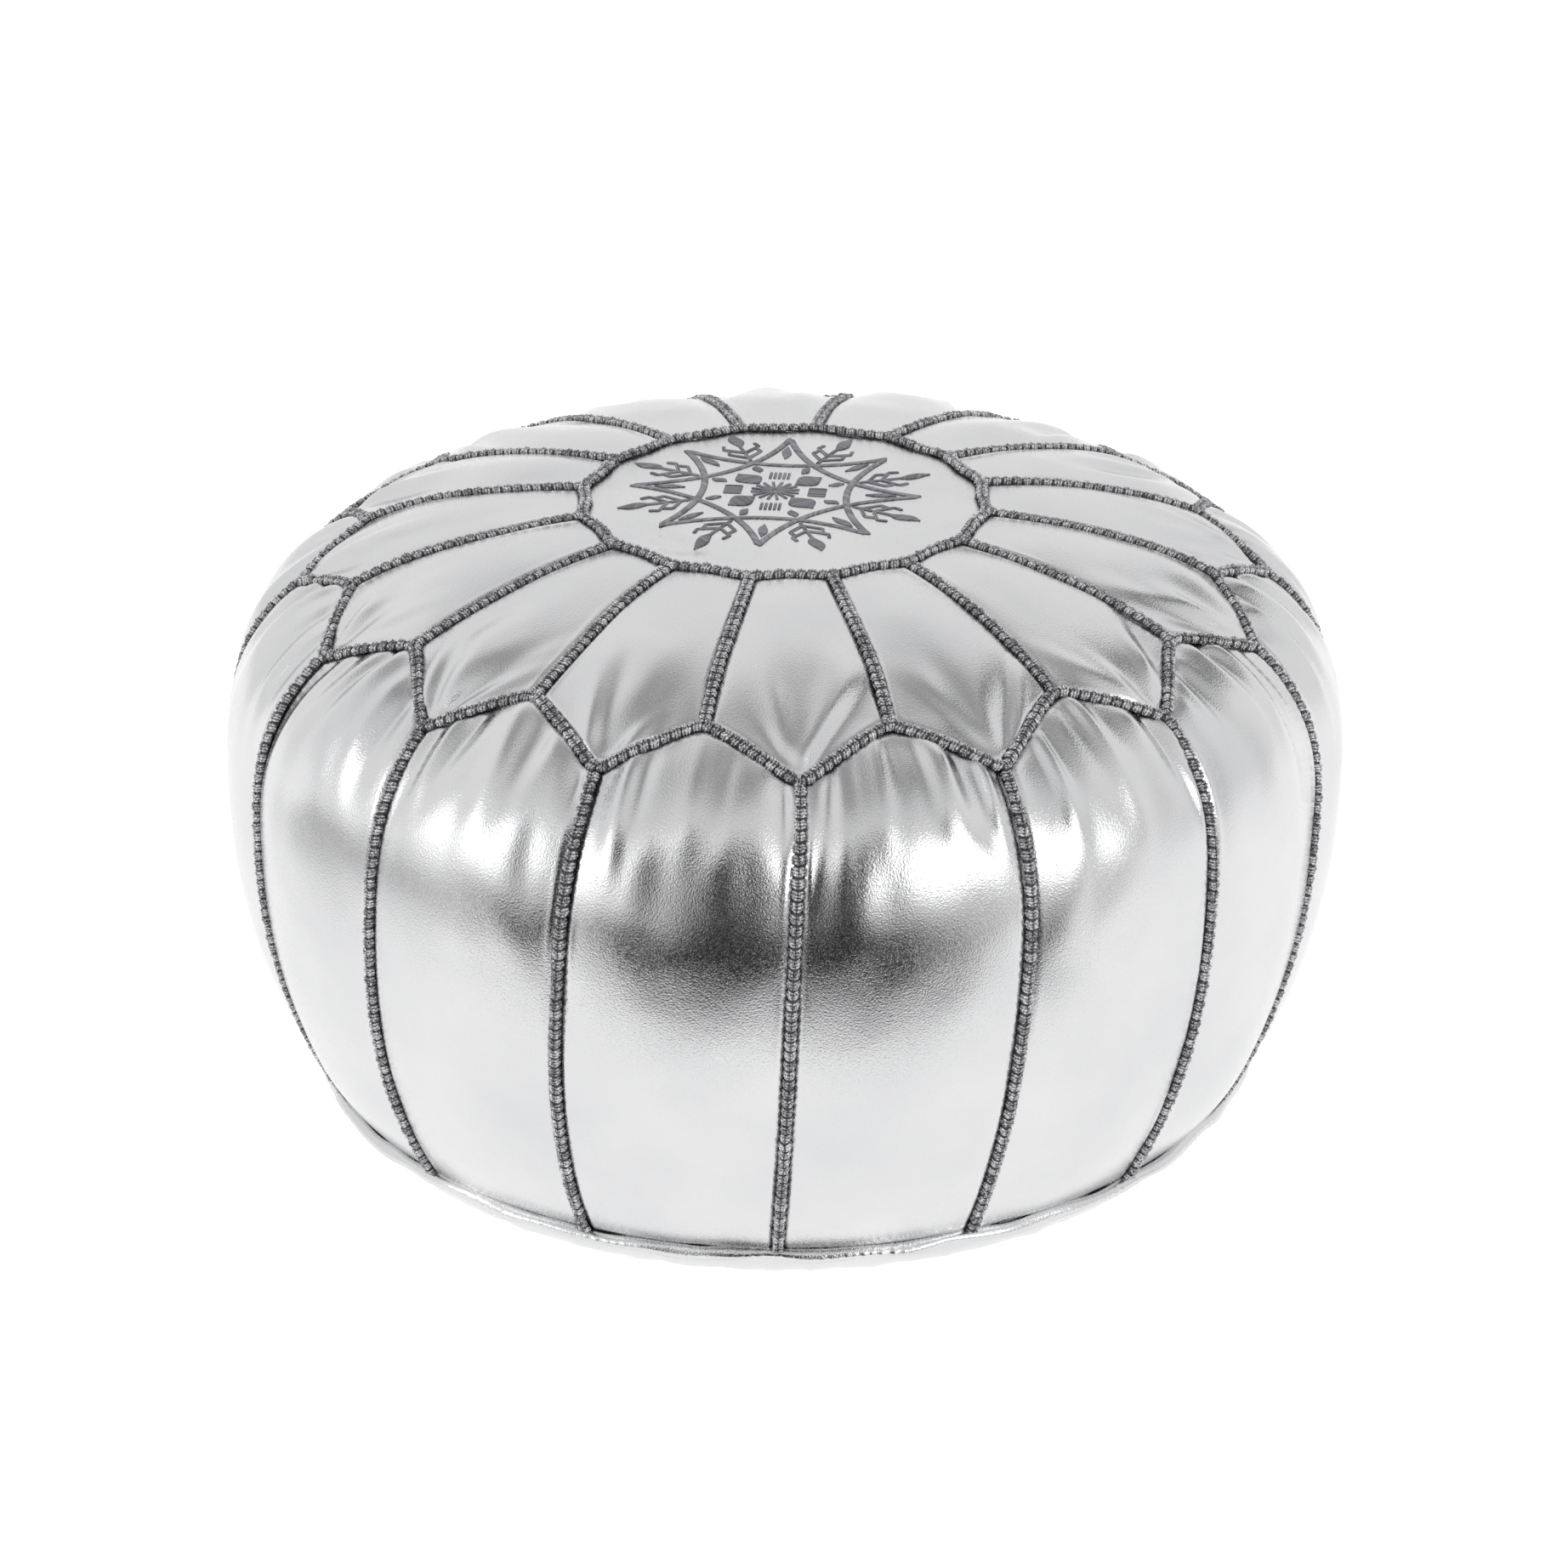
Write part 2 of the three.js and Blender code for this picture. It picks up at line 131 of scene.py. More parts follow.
mixed = add_node(tree, "ShaderNodeMixShader", Fac=rays.outputs["Is Glossy Ray"])
tree.links.new(white.outputs["Background"], mixed.inputs[1])
tree.links.new(graded.outputs["Background"], mixed.inputs[2])
add_node(tree, "ShaderNodeOutputWorld", Surface=mixed.outputs["Shader"])


def card(name, centre, size, tilt, heading, brightness, softness=None):
    """A flat card that only reflections see. It faces -Y until it is tilted back and turned to its heading.
    softness is how much of it, from the edge in, fades away, across and upwards."""
    half_width, half_height = size[0] / 2, size[1] / 2
    material, card_tree = new_material(name)
    glow = add_node(card_tree, "ShaderNodeEmission", Color=(1, 1, 1, 1), Strength=brightness)
    surface = glow.outputs["Emission"]
    if softness:
        place = add_node(card_tree, "ShaderNodeSeparateXYZ",
                         Vector=add_node(card_tree, "ShaderNodeTexCoord").outputs["Object"])
        fades = []
        for axis, half, faded_share in (("X", half_width, softness[0]), ("Z", half_height, softness[1])):
            away = add_node(card_tree, "ShaderNodeMath", {"operation": "ABSOLUTE"}, Value=place.outputs[axis])
            fades.append(add_node(card_tree, "ShaderNodeMapRange", {"interpolation_type": "SMOOTHSTEP"},
                                  Value=away.outputs["Value"], From_Min=half,
                                  From_Max=half * (1 - faded_share)))
        both = add_node(card_tree, "ShaderNodeMath", {"operation": "MULTIPLY"})
        for socket, fade in zip(both.inputs, fades):
            card_tree.links.new(fade.outputs["Result"], socket)
        faded = add_node(card_tree, "ShaderNodeMixShader", Fac=both.outputs["Value"])
        clear = add_node(card_tree, "ShaderNodeBsdfTransparent", Color=(1, 1, 1, 1))
        card_tree.links.new(clear.outputs["BSDF"], faded.inputs[1])
        card_tree.links.new(surface, faded.inputs[2])
        surface = faded.outputs["Shader"]
    add_node(card_tree, "ShaderNodeOutputMaterial", Surface=surface)
    corners = [(-half_width, 0, -half_height), (half_width, 0, -half_height),
               (half_width, 0, half_height), (-half_width, 0, half_height)]
    flat = mesh_object(name, corners, [(0, 1, 2, 3)], material)
    flat.rotation_euler = (math.radians(tilt), 0, math.radians(heading))
    flat.location = centre
    flat.visible_camera = False
    flat.visible_diffuse = False
    flat.visible_shadow = False
    flat.visible_transmission = False


card("sheet_floor", (0, 0, -0.0002), (18, 18), 90, 0, 1.18)
card("card_floor_front", (-0.18, -2.03, 0.003), (1.40, 3.0), 90, 0, 0.015, (0.24, 0.015))
card("card_floor_right", (1.25, -1.95, 0.002), (2.4, 2.6), 90, 0, 0.56, (0.25, 0.04))
card("card_floor_left", (-1.30, -1.00, 0.001), (1.6, 2.4), 90, 0, 0.58, (0.40, 0.10))
card("flag_left", (-2.3, 0.3, 2.4), (3.0, 1.3), 45, -80, 0.20, (0.4, 0.4))
card("flag_right", (1.7, 0.9, 2.5), (3.0, 1.7), 50, 58, 0.25, (0.4, 0.4))
card("card_wall_front", (-0.48, -3.3, 1.35), (2.4, 3.1), 0, 0, 0.04, (0.25, 0.20))
card("softbox_left", (-1.5, -0.9, 0.75), (1.5, 1.1), 15, -58, 2.8, (0.6, 0.6))
card("softbox_near_left", (-0.85, -1.45, 1.30), (0.55, 0.40), 30, -28, 3.0, (0.7, 0.7))
card("softbox_right", (0.90, -1.25, 0.80), (1.15, 1.10), 25, 35, 3.6, (0.5, 0.4))


# ---- The seams ----
# Sixteen petals and sixteen side panels of goat leather are cut to paper patterns and sewn edge to edge.
# Each seam runs on the surface below, and wanders a little, as hand sewing does.

PANELS = 16
PITCH = 2 * math.pi / PANELS
FRONT = -math.pi / 2
MEDALLION_RADIUS = 0.098
SEAM_RADIUS = 0.270
TOP_HEIGHT = 0.302
EQUATOR_HEIGHT = 0.172
BASE_SEAM_RADIUS = 0.233
BASE_SEAM_HEIGHT = 0.020
SHOULDER_EXPONENT = 2.8
SIDE_EXPONENT = 2.2
PETAL_LENGTH = 0.115
ARCH_DROP = 0.031
ARCH_EXPONENT = 1.3
BASE_TWIST = math.radians(2.4)

shoulder = np.linspace(math.asin((0.06 / SEAM_RADIUS) ** (SHOULDER_EXPONENT / 2)), math.pi / 2, 900)
down = np.linspace(0, 1, 600)[1:]
outline_radius = np.concatenate([
    SEAM_RADIUS * np.sin(shoulder) ** (2 / SHOULDER_EXPONENT),
    SEAM_RADIUS - (SEAM_RADIUS - BASE_SEAM_RADIUS) * down ** SIDE_EXPONENT])
outline_height = np.concatenate([
    EQUATOR_HEIGHT
    + (TOP_HEIGHT - EQUATOR_HEIGHT) * np.maximum(np.cos(shoulder), 0) ** (2 / SHOULDER_EXPONENT),
    EQUATOR_HEIGHT + (BASE_SEAM_HEIGHT - EQUATOR_HEIGHT) * down])
outline_girth = np.concatenate([[0], np.cumsum(np.hypot(np.diff(outline_radius), np.diff(outline_height)))])
outline_girth -= np.interp(MEDALLION_RADIUS, outline_radius[:900], outline_girth[:900])
outline_slope = np.unwrap(np.arctan2(np.gradient(outline_height), np.gradient(outline_radius)))
FULL_GIRTH = outline_girth[-1]
MEDALLION_HEIGHT = float(np.interp(0, outline_girth, outline_height))


def on_surface(azimuth, girth, offset):
    """Points at an azimuth, a distance girth down the surface from the medallion, and offset outside it."""
    radius = np.interp(girth, outline_girth, outline_radius)
    height = np.interp(girth, outline_girth, outline_height)
    slope = np.interp(girth, outline_girth, outline_slope)
    radius = radius - np.sin(slope) * offset
    height = height + np.cos(slope) * offset
    return np.stack([radius * np.cos(azimuth), radius * np.sin(azimuth), height], axis=-1)


seam_random = np.random.default_rng(16)
petal_seam_start = (np.arange(PANELS) + 0.5) * PITCH + seam_random.uniform(-0.008, 0.008, PANELS)
corner_azimuth = np.arange(2 * PANELS) * PITCH / 2 + seam_random.uniform(-0.004, 0.004, 2 * PANELS)
corner_girth = np.where(np.arange(2 * PANELS) % 2, PETAL_LENGTH, PETAL_LENGTH + ARCH_DROP)
corner_girth = corner_girth + seam_random.uniform(-0.0016, 0.0016, 2 * PANELS)
seam_bow = seam_random.uniform(-0.0014, 0.0014, (2 * PANELS, 2))


def zigzag_girth(azimuth):
    """How far down the zigzag seam lies. Even corners are the arches' feet, odd ones their peaks."""
    turns = np.concatenate([corner_azimuth, [corner_azimuth[0] + 2 * math.pi]])
    turned = np.mod(azimuth - FRONT - turns[0], 2 * math.pi) + turns[0]
    place = np.interp(turned, turns, np.arange(2 * PANELS + 1))
    corner = np.minimum(place.astype(int), 2 * PANELS - 1)
    along = place - corner
    first, second = corner_girth[corner], corner_girth[(corner + 1) % (2 * PANELS)]
    foot, peak = np.where(corner % 2, second, first), np.where(corner % 2, first, second)
    from_peak = np.where(corner % 2, along, 1 - along)
    return peak + (foot - peak) * from_peak ** ARCH_EXPONENT


def ring_girth(azimuth):
    """The medallion's edge is pulled out a little where the petal seams meet it."""
    place = np.abs(np.mod((azimuth - FRONT) / PITCH, 1) - 0.5) * 2
    return -0.0024 * np.sin(place * math.pi / 2) ** 2


def bow(corner, along):
    """How far a seam bends sideways, along its way from 0 to 1. The seam is named by its corner."""
    return seam_bow[corner, 0] * np.sin(math.pi * along) + seam_bow[corner, 1] * np.sin(2 * math.pi * along)


def petal_seam(index, girth):
    """The azimuth of a petal seam."""
    turn, index = divmod(index, PANELS)
    end_azimuth, end_girth = corner_azimuth[2 * index + 1], corner_girth[2 * index + 1]
    along = np.clip(girth / end_girth, 0, 1)
    straight = petal_seam_start[index] + (end_azimuth - petal_seam_start[index]) * along
    radius = np.interp(girth, outline_girth, outline_radius)
    return FRONT + 2 * math.pi * turn + straight + bow(2 * index + 1, along) / radius


def side_seam(index, girth):
    """The azimuth of a side seam. It leans over towards the base."""
    turn, index = divmod(index, PANELS)
    start_azimuth, start_girth = corner_azimuth[2 * index], corner_girth[2 * index]
    along = np.clip((girth - start_girth) / (FULL_GIRTH - start_girth), 0, 1)
    straight = start_azimuth + (index * PITCH - start_azimuth) * along
    lean = BASE_TWIST * along ** 2 * (3 - 2 * along)
    radius = np.interp(girth, outline_girth, outline_radius)
    return FRONT + 2 * math.pi * turn + straight - lean + bow(2 * index, along) / radius


# ---- Leather panels ----
# Each panel is goat leather with silver foil on it, stretched over the stuffing, so that it bulges between
# its seams. The gathers under the arches and at the petals' points are leather that the seam has drawn in.

LEATHER = 0.0016
COLUMNS = 40
PETAL_ROWS = 34
SIDE_ROWS = 46
CROWN = 0.0045
EDGE_SHARE = 0.003
FIRST_GIRTH = 0.12
FITTING_ROUNDS = 6
FOLD_COUNT = (7, 11)
LONG_FOLD = 0.14
SHORT_FOLD = (0.045, 0.105)
LOW_FOLD_DEPTH = (0.0012, 0.0020)
SIDE_FOLD_DEPTH = (0.0016, 0.0036)
LOW_FOLD_WIDTH = (0.0055, 0.0080)
SIDE_FOLD_WIDTH = (0.0030, 0.0048)
DENTS = 2
DENT_DEPTH = (0.0008, 0.0018)
WRINKLE_COUNT = (3, 6)
WRINKLE_DEPTH = (0.0009, 0.0022)
WRINKLE_LENGTH = (0.05, 0.11)
fold_random = np.random.default_rng(7)


def crowded(count, crowding):
    """Steps from 0 to 1 that lie closer together at both ends."""
    even = np.linspace(0, 1, count + 1)
    return even - crowding * np.sin(2 * math.pi * even) / (2 * math.pi)


def soft_step(low, high, value):
    step = np.clip((value - low) / (high - low), 0, 1)
    return step * step * (3 - 2 * step)


def fold(away, steepness):
    """A soft valley between two low shoulders, leaning to one side. away is the distance in fold widths."""
    away = away * (1 + 0.4 * np.tanh(away * steepness))
    return 0.5 * np.exp(-((np.abs(away) - 1.9) / 1.1) ** 2) - np.exp(-away ** 2)


def side_folds(across, below, width):
    """Gathers that run down from an arch. across is measured from the panel's middle, below from the arch."""
    count = fold_random.integers(*FOLD_COUNT)
    places = (np.arange(count) + 0.5 + fold_random.uniform(-0.4, 0.4, count)) / count - 0.5
    offset = np.zeros_like(across)
    for number, place in enumerate(places):
        long_and_low = number % 3 == 0
        length = LONG_FOLD if long_and_low else fold_random.uniform(*SHORT_FOLD)
        length = length * (1 - 0.6 * abs(place))
        depth = fold_random.uniform(*(LOW_FOLD_DEPTH if long_and_low else SIDE_FOLD_DEPTH))
        spread = fold_random.uniform(*(LOW_FOLD_WIDTH if long_and_low else SIDE_FOLD_WIDTH))
        slant = 0.35 * place + fold_random.uniform(-0.10, 0.10)
        away = (across - place * 0.92 * width - slant * below) / (spread * (1 + 8 * below))
        fade = (0.35 + 0.65 * soft_step(0.0, 0.012, below)) * (1 - soft_step(0.15 * length, length, below))
        offset += depth * fade * fold(away, fold_random.choice([-1, 1]))
    return offset


def petal_folds(across, above):
    """Dents, and wrinkles that fan up from a petal's point. above is the distance up from the point."""
    offset = np.zeros_like(across)
    for _ in range(DENTS):
        centre_across, centre_above = fold_random.uniform(-0.022, 0.022), fold_random.uniform(0.03, 0.06)
        slant = fold_random.uniform(-0.3, 0.3)
        away = (across - centre_across - slant * (above - centre_above)) / fold_random.uniform(0.007, 0.012)
        dent = np.exp(-away ** 2 - ((above - centre_above) / fold_random.uniform(0.018, 0.034)) ** 2)
        offset -= fold_random.uniform(*DENT_DEPTH) * dent
    for _ in range(fold_random.integers(*WRINKLE_COUNT)):
        angle = fold_random.uniform(-0.6, 0.6)
        reach = fold_random.uniform(*WRINKLE_LENGTH)
        depth = fold_random.uniform(*WRINKLE_DEPTH)
        along = across * math.sin(angle) + above * math.cos(angle)
        away = (across * math.cos(angle) - above * math.sin(angle)) / (0.0034 + 0.05 * np.maximum(along, 0))
        fade = soft_step(0.000, 0.018, along) * (1 - soft_step(0.3 * reach, reach, along))
        offset += depth * fade * fold(away, fold_random.choice([-1, 1]))
    return offset


def lumps(points, size, seed):
    """Smooth unevenness of the stuffing, from -1 to 1."""
    lump_random = np.random.default_rng(seed)
    total = np.zeros(points.shape[:-1])
    for _ in range(9):
        direction = lump_random.normal(size=3)
        direction *= 2 * math.pi / (size * np.linalg.norm(direction) * lump_random.uniform(0.7, 1.5))
        total += np.sin(points @ direction + lump_random.uniform(0, 2 * math.pi))
    return total / 4


def panel_grid(left_seam, right_seam, top, bottom, share_down):
    """The azimuth and girth of a panel's rows and columns of points, between its four seams."""
    across = EDGE_SHARE + (1 - 2 * EDGE_SHARE) * crowded(COLUMNS, 0.55)[None, :]
    down = EDGE_SHARE + (1 - 2 * EDGE_SHARE) * share_down[:, None]
    girth = np.full((len(down), COLUMNS + 1), FIRST_GIRTH)
    for _ in range(FITTING_ROUNDS):
        azimuth = left_seam(girth) + (right_seam(girth) - left_seam(girth)) * across
        girth = top(azimuth) + (bottom(azimuth) - top(azimuth)) * down
    return azimuth, girth


def base_girth(azimuth):
    return np.full_like(azimuth, FULL_GIRTH)


panels = []
for i in range(PANELS):
    azimuth, girth = panel_grid(lambda g: petal_seam(i - 1, g), lambda g: petal_seam(i, g),
                                ring_girth, zigzag_girth, crowded(PETAL_ROWS, 0.55))
    point_azimuth, point_girth = FRONT + corner_azimuth[2 * i], corner_girth[2 * i]
    sideways = (azimuth - point_azimuth) * np.interp(girth, outline_girth, outline_radius)
    folds = petal_folds(sideways, point_girth - girth)
    panels.append(dict(name=f"top_petal_{i + 1:02d}", azimuth=azimuth, girth=girth, folds=folds,
                       top=ring_girth(azimuth), bottom=zigzag_girth(azimuth)))
for i in range(PANELS):
    azimuth, girth = panel_grid(lambda g: side_seam(i, g), lambda g: side_seam(i + 1, g),
                                zigzag_girth, base_girth, crowded(SIDE_ROWS, 0.2) ** 1.25)
    middle = (azimuth[:, :1] + azimuth[:, -1:]) / 2
    radius = np.interp(girth, outline_girth, outline_radius)
    folds = side_folds((azimuth - middle) * radius, girth - zigzag_girth(azimuth), PITCH * 0.24)
    panels.append(dict(name=f"side_panel_{i + 1:02d}", azimuth=azimuth, girth=girth, folds=folds,
                       top=zigzag_girth(azimuth), bottom=base_girth(azimuth)))

for panel in panels:
    azimuth, girth = panel["azimuth"], panel["girth"]
    radius = np.interp(girth, outline_girth, outline_radius)
    from_left = (azimuth - azimuth[:, :1]) * radius
    from_right = (azimuth[:, -1:] - azimuth) * radius
    width = from_left + from_right
    from_top, from_bottom = girth - panel["top"], panel["bottom"] - girth
    panel["braid_distance"] = np.minimum(np.minimum(from_left, from_right), from_top)
    if panel["name"].startswith("top"):
        panel["braid_distance"] = np.minimum(panel["braid_distance"], from_bottom)
    panel["seam_distance"] = np.minimum(panel["braid_distance"], from_bottom)
    crown = CROWN * 4 * from_left * from_right / width ** 2
    crown = crown * np.sqrt(soft_step(0, 0.05, from_top) * soft_step(0, 0.04, from_bottom))
    smooth_place = on_surface(azimuth, girth, 0)
    uneven = 0.0009 * lumps(smooth_place, 0.085, 3) + 0.00022 * lumps(smooth_place, 0.03, 4)
    looser_above = 0.3 + 0.7 * soft_step(0.12, 0.20, smooth_place[..., 2])
    uneven = uneven * soft_step(0, 0.02, panel["seam_distance"]) * looser_above
    panel["place"] = on_surface(azimuth, girth, crown + uneven + panel["folds"])
    panel["outward"] = on_surface(azimuth, girth, 1) - smooth_place


def grid_faces(rows, columns, start=0):
    """Quads of a grid whose rows run down and columns to the right, facing outwards."""
    corner = start + np.arange(rows - 1)[:, None] * columns + np.arange(columns - 1)[None, :]
    return np.stack([corner, corner + columns, corner + columns + 1, corner + 1], axis=-1).reshape(-1, 4)


def settle_under_pressure(panels):
    """The leather blows up as cloth, held along its seams, until it lies smoothly over its folds."""
    points = np.concatenate([panel["place"].reshape(-1, 3) for panel in panels])
    faces, held, start = [], [], 0
    for panel in panels:
        rows, columns = panel["azimuth"].shape
        faces.append(grid_faces(rows, columns, start))
        index = start + np.arange(rows * columns).reshape(rows, columns)
        held += [*index[0], *index[-1], *index[1:-1, 0], *index[1:-1, -1]]
        start += rows * columns
    leather = mesh_object("settling_leather", points, np.concatenate(faces))
    leather.vertex_groups.new(name="seams").add([int(i) for i in held], 1, "REPLACE")
    cloth = leather.modifiers.new("cloth", "CLOTH")
    cloth.settings.quality = 5
    cloth.settings.mass = 0.6
    cloth.settings.tension_stiffness = 18
    cloth.settings.compression_stiffness = 18
    cloth.settings.shear_stiffness = 8
    cloth.settings.bending_stiffness = 4
    cloth.settings.vertex_group_mass = "seams"
    cloth.settings.use_pressure = True
    cloth.settings.uniform_pressure_force = 2.5
    cloth.settings.effector_weights.gravity = 0
    cloth.point_cache.frame_start = 1
    cloth.point_cache.frame_end = SETTLING_FRAMES
    for number in range(1, SETTLING_FRAMES + 1):
        scene.frame_set(number)
    settled = leather.evaluated_get(bpy.context.evaluated_depsgraph_get()).to_mesh()
    moved = np.empty(len(points) * 3, np.float32)
    settled.vertices.foreach_get("co", moved)
    moved = moved.reshape(-1, 3).astype(float)
    bpy.data.objects.remove(leather)
    scene.frame_set(1)
    return points, moved


MOST_MOVED = 0.0035
SETTLING_FRAMES = 12
SMOOTHING_ROUNDS = 4


def smoothed(grid):
    """Each inner point of a grid moves to the middle of its neighbours."""
    around = (grid[:-2, 1:-1] + grid[2:, 1:-1] + grid[1:-1, :-2] + grid[1:-1, 2:]) / 4
    result = grid.copy()
    result[1:-1, 1:-1] = 0.4 * grid[1:-1, 1:-1] + 0.6 * around
    return result


before, after = settle_under_pressure(panels)
step = after - before
length = np.linalg.norm(step, axis=1, keepdims=True)
step = step * np.minimum(1, MOST_MOVED / np.maximum(length, 1e-9))
start = 0
for panel in panels:
    count = panel["azimuth"].size
    movement = step[start:start + count].reshape(panel["place"].shape)
    for _ in range(SMOOTHING_ROUNDS):
        movement = smoothed(movement)
    panel["place"] = panel["place"] + movement
    start += count

silver_leather, tree = new_material("silver_leather")
position = add_node(tree, "ShaderNodeTexCoord").outputs["Object"]
patches = add_node(tree, "ShaderNodeTexNoise", Vector=position, Scale=16.0, Detail=4.0)
tone = colour_ramp(tree, patches.outputs["Fac"], [(0.3, (0.635, 0.638, 0.648)), (0.7, (0.70, 0.70, 0.705))])
grain = add_node(tree, "ShaderNodeTexNoise", Vector=position, Scale=1300.0, Detail=3.0)
creases = add_node(tree, "ShaderNodeTexVoronoi", {"feature": "DISTANCE_TO_EDGE"}, Vector=position,
                   Scale=620.0)
grain_bump = add_node(tree, "ShaderNodeBump", Height=grain.outputs["Fac"], Strength=0.6, Distance=0.0002)
crease_bump = add_node(tree, "ShaderNodeBump", Height=creases.outputs["Distance"], Strength=0.35,
                       Distance=0.0002, Normal=grain_bump.outputs["Normal"])
speckle = add_node(tree, "ShaderNodeTexNoise", Vector=position, Scale=1300.0, Detail=2.0, Roughness=0.7)
shine = add_node(tree, "ShaderNodeMapRange", Value=speckle.outputs["Fac"], From_Min=0.35, From_Max=0.65,
                 To_Min=0.10, To_Max=0.28)
foil = add_node(tree, "ShaderNodeBsdfPrincipled", Base_Color=tone, Metallic=1.0,
                Roughness=shine.outputs["Result"], Normal=crease_bump.outputs["Normal"])
add_node(tree, "ShaderNodeOutputMaterial", Surface=foil.outputs["BSDF"])


def plain_mesh(piece):
    """Puts a piece's modifiers into its mesh."""
    made = bpy.data.meshes.new_from_object(piece.evaluated_get(bpy.context.evaluated_depsgraph_get()))
    made.name = piece.name
    piece.modifiers.clear()
    piece.data = made
    return piece


GROOVE_DEPTH = 0.0014
GROOVE_WIDTH = 0.0031
LIP_HEIGHT = 0.0007
LIP_WIDTH = 0.0013
LIP_PLACE = 0.0044

for panel in panels:
    lip = 0.5 + 0.5 * lumps(panel["place"], 0.05, 9)
    groove = GROOVE_DEPTH * np.exp(-(panel["braid_distance"] / GROOVE_WIDTH) ** 2)
    groove = groove - LIP_HEIGHT * lip * np.exp(-((panel["braid_distance"] - LIP_PLACE) / LIP_WIDTH) ** 2)
    place = panel["place"] - panel["outward"] * groove[..., None]
    rows, columns = panel["azimuth"].shape
    piece = mesh_object(panel["name"] + "_leather", place.reshape(-1, 3), grid_faces(rows, columns),
                        silver_leather)
    smoother = piece.modifiers.new("smoother", "SUBSURF")
    smoother.levels = smoother.render_levels = 1
    thickness = piece.modifiers.new("thickness", "SOLIDIFY")
    thickness.thickness = LEATHER
    thickness.offset = -1
    plain_mesh(piece)
    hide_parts(panel["name"])
    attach(piece, "cover")


# ---- Medallion leather ----
# A round of the same silver leather closes the top. The ring seam pulls its edge out a little at each petal
# seam, and it lies nearly flat on the stuffing with a few soft dents.

MEDALLION_ROWS = 30
MEDALLION_COLUMNS = 128


def medallion_height(x, y):
    """The height of the medallion's leather above its plane."""
    points = np.stack([x, y, np.zeros_like(x)], axis=-1)
    dent = np.exp(-(((x + 0.052) / 0.016) ** 2 + ((y + 0.058) / 0.011) ** 2))
    across_tuck, along_tuck = x * 0.75 + y * 0.66 + 0.071, x * 0.66 - y * 0.75 + 0.010
    tuck = np.exp(-(across_tuck / 0.004) ** 2 - (along_tuck / 0.022) ** 2)
    return 0.0005 * lumps(points, 0.075, 11) - 0.0026 * dent - 0.0012 * tuck


share = np.linspace(0, 1, MEDALLION_ROWS + 1)[1:, None] ** 0.8
azimuth = FRONT + np.linspace(0, 2 * math.pi, MEDALLION_COLUMNS, endpoint=False)[None, :]
edge_radius = np.interp(ring_girth(azimuth), outline_girth, outline_radius) - 0.0004
radius = edge_radius * share
x, y = radius * np.cos(azimuth), radius * np.sin(azimuth)
edge_dip = 0.0011 * np.exp(-((edge_radius - radius) / 0.0028) ** 2)
height = MEDALLION_HEIGHT - edge_dip + medallion_height(x, y) * soft_step(0, 0.02, edge_radius - radius)
points = np.concatenate([np.stack([x, y, height], axis=-1).reshape(-1, 3),
                         [(0, 0, MEDALLION_HEIGHT + float(medallion_height(np.zeros(1), np.zeros(1))[0]))]])
faces = []
for row in range(MEDALLION_ROWS - 1):
    for column in range(MEDALLION_COLUMNS):
        nearer, further = row * MEDALLION_COLUMNS, (row + 1) * MEDALLION_COLUMNS
        beside = (column + 1) % MEDALLION_COLUMNS
        faces.append((nearer + column, further + column, further + beside, nearer + beside))
for column in range(MEDALLION_COLUMNS):
    faces.append((len(points) - 1, column, (column + 1) % MEDALLION_COLUMNS))
medallion = mesh_object("medallion_leather", points, faces, silver_leather)
thickness = medallion.modifiers.new("thickness", "SOLIDIFY")
thickness.thickness = LEATHER
thickness.offset = -1
plain_mesh(medallion)
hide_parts("medallion")
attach(medallion, "cover")


# ---- Braided seams ----
# Every seam between leather pieces is covered by a hand-worked braid of grey cord. Each knot is two plump
# lobes side by side, each of three slanted strands that dive into the seam at the middle and at the edge.

KNOT_SPACING = 0.0051
BRAID_HALF_WIDTH = 0.0028
BRAID_LIFT = 0.0003
LOBE_HEIGHT = 0.0021
STRAND_SPACING = 0.00138
CORE_HALF_WIDTH = 0.0021
CORE_TOP_HALF_WIDTH = 0.0014
CORE_LOW = -0.0009
CORE_HIGH = 0.0010
# The thread's greys: the dark end carries painted shade, the bright end painted sheen, and between them is
# the cord's own grey.
thread_colours = [(0.0, (0.035, 0.035, 0.04)), (0.40, (0.205, 0.205, 0.215)), (1.0, (0.72, 0.72, 0.735))]

braid_thread, tree = new_material("braid_thread")
position = add_node(tree, "ShaderNodeTexCoord").outputs["Object"]
fibres = add_node(tree, "ShaderNodeTexNoise", Vector=position, Scale=1150.0, Detail=3.0)
knot_tone = add_node(tree, "ShaderNodeAttribute", {"attribute_name": "tone"}).outputs["Fac"]
# The shade that each point carries is painted shade, on the strands' ends and on the cord in the gaps between
# the knots.
painted_strand_shade = add_node(tree, "ShaderNodeAttribute", {"attribute_name": "shade"}).outputs["Fac"]
# Fibre tone and painted sheen: the fibre noise darkens some fibres at random and brightens others into
# painted glints of the shiny thread.
spread = add_node(tree, "ShaderNodeMapRange", Value=fibres.outputs["Fac"], From_Min=0.3, From_Max=0.7,
                  To_Min=-0.45, To_Max=0.75)
tone_and_painted_sheen = add_node(tree, "ShaderNodeMath", {"operation": "ADD"})
tree.links.new(knot_tone, tone_and_painted_sheen.inputs[0])
tree.links.new(spread.outputs["Result"], tone_and_painted_sheen.inputs[1])
shaded = add_node(tree, "ShaderNodeMath", {"operation": "MULTIPLY", "use_clamp": True})
tree.links.new(tone_and_painted_sheen.outputs["Value"], shaded.inputs[0])
tree.links.new(painted_strand_shade, shaded.inputs[1])
thread_bump = add_node(tree, "ShaderNodeBump", Height=fibres.outputs["Fac"], Strength=0.5, Distance=0.0003)
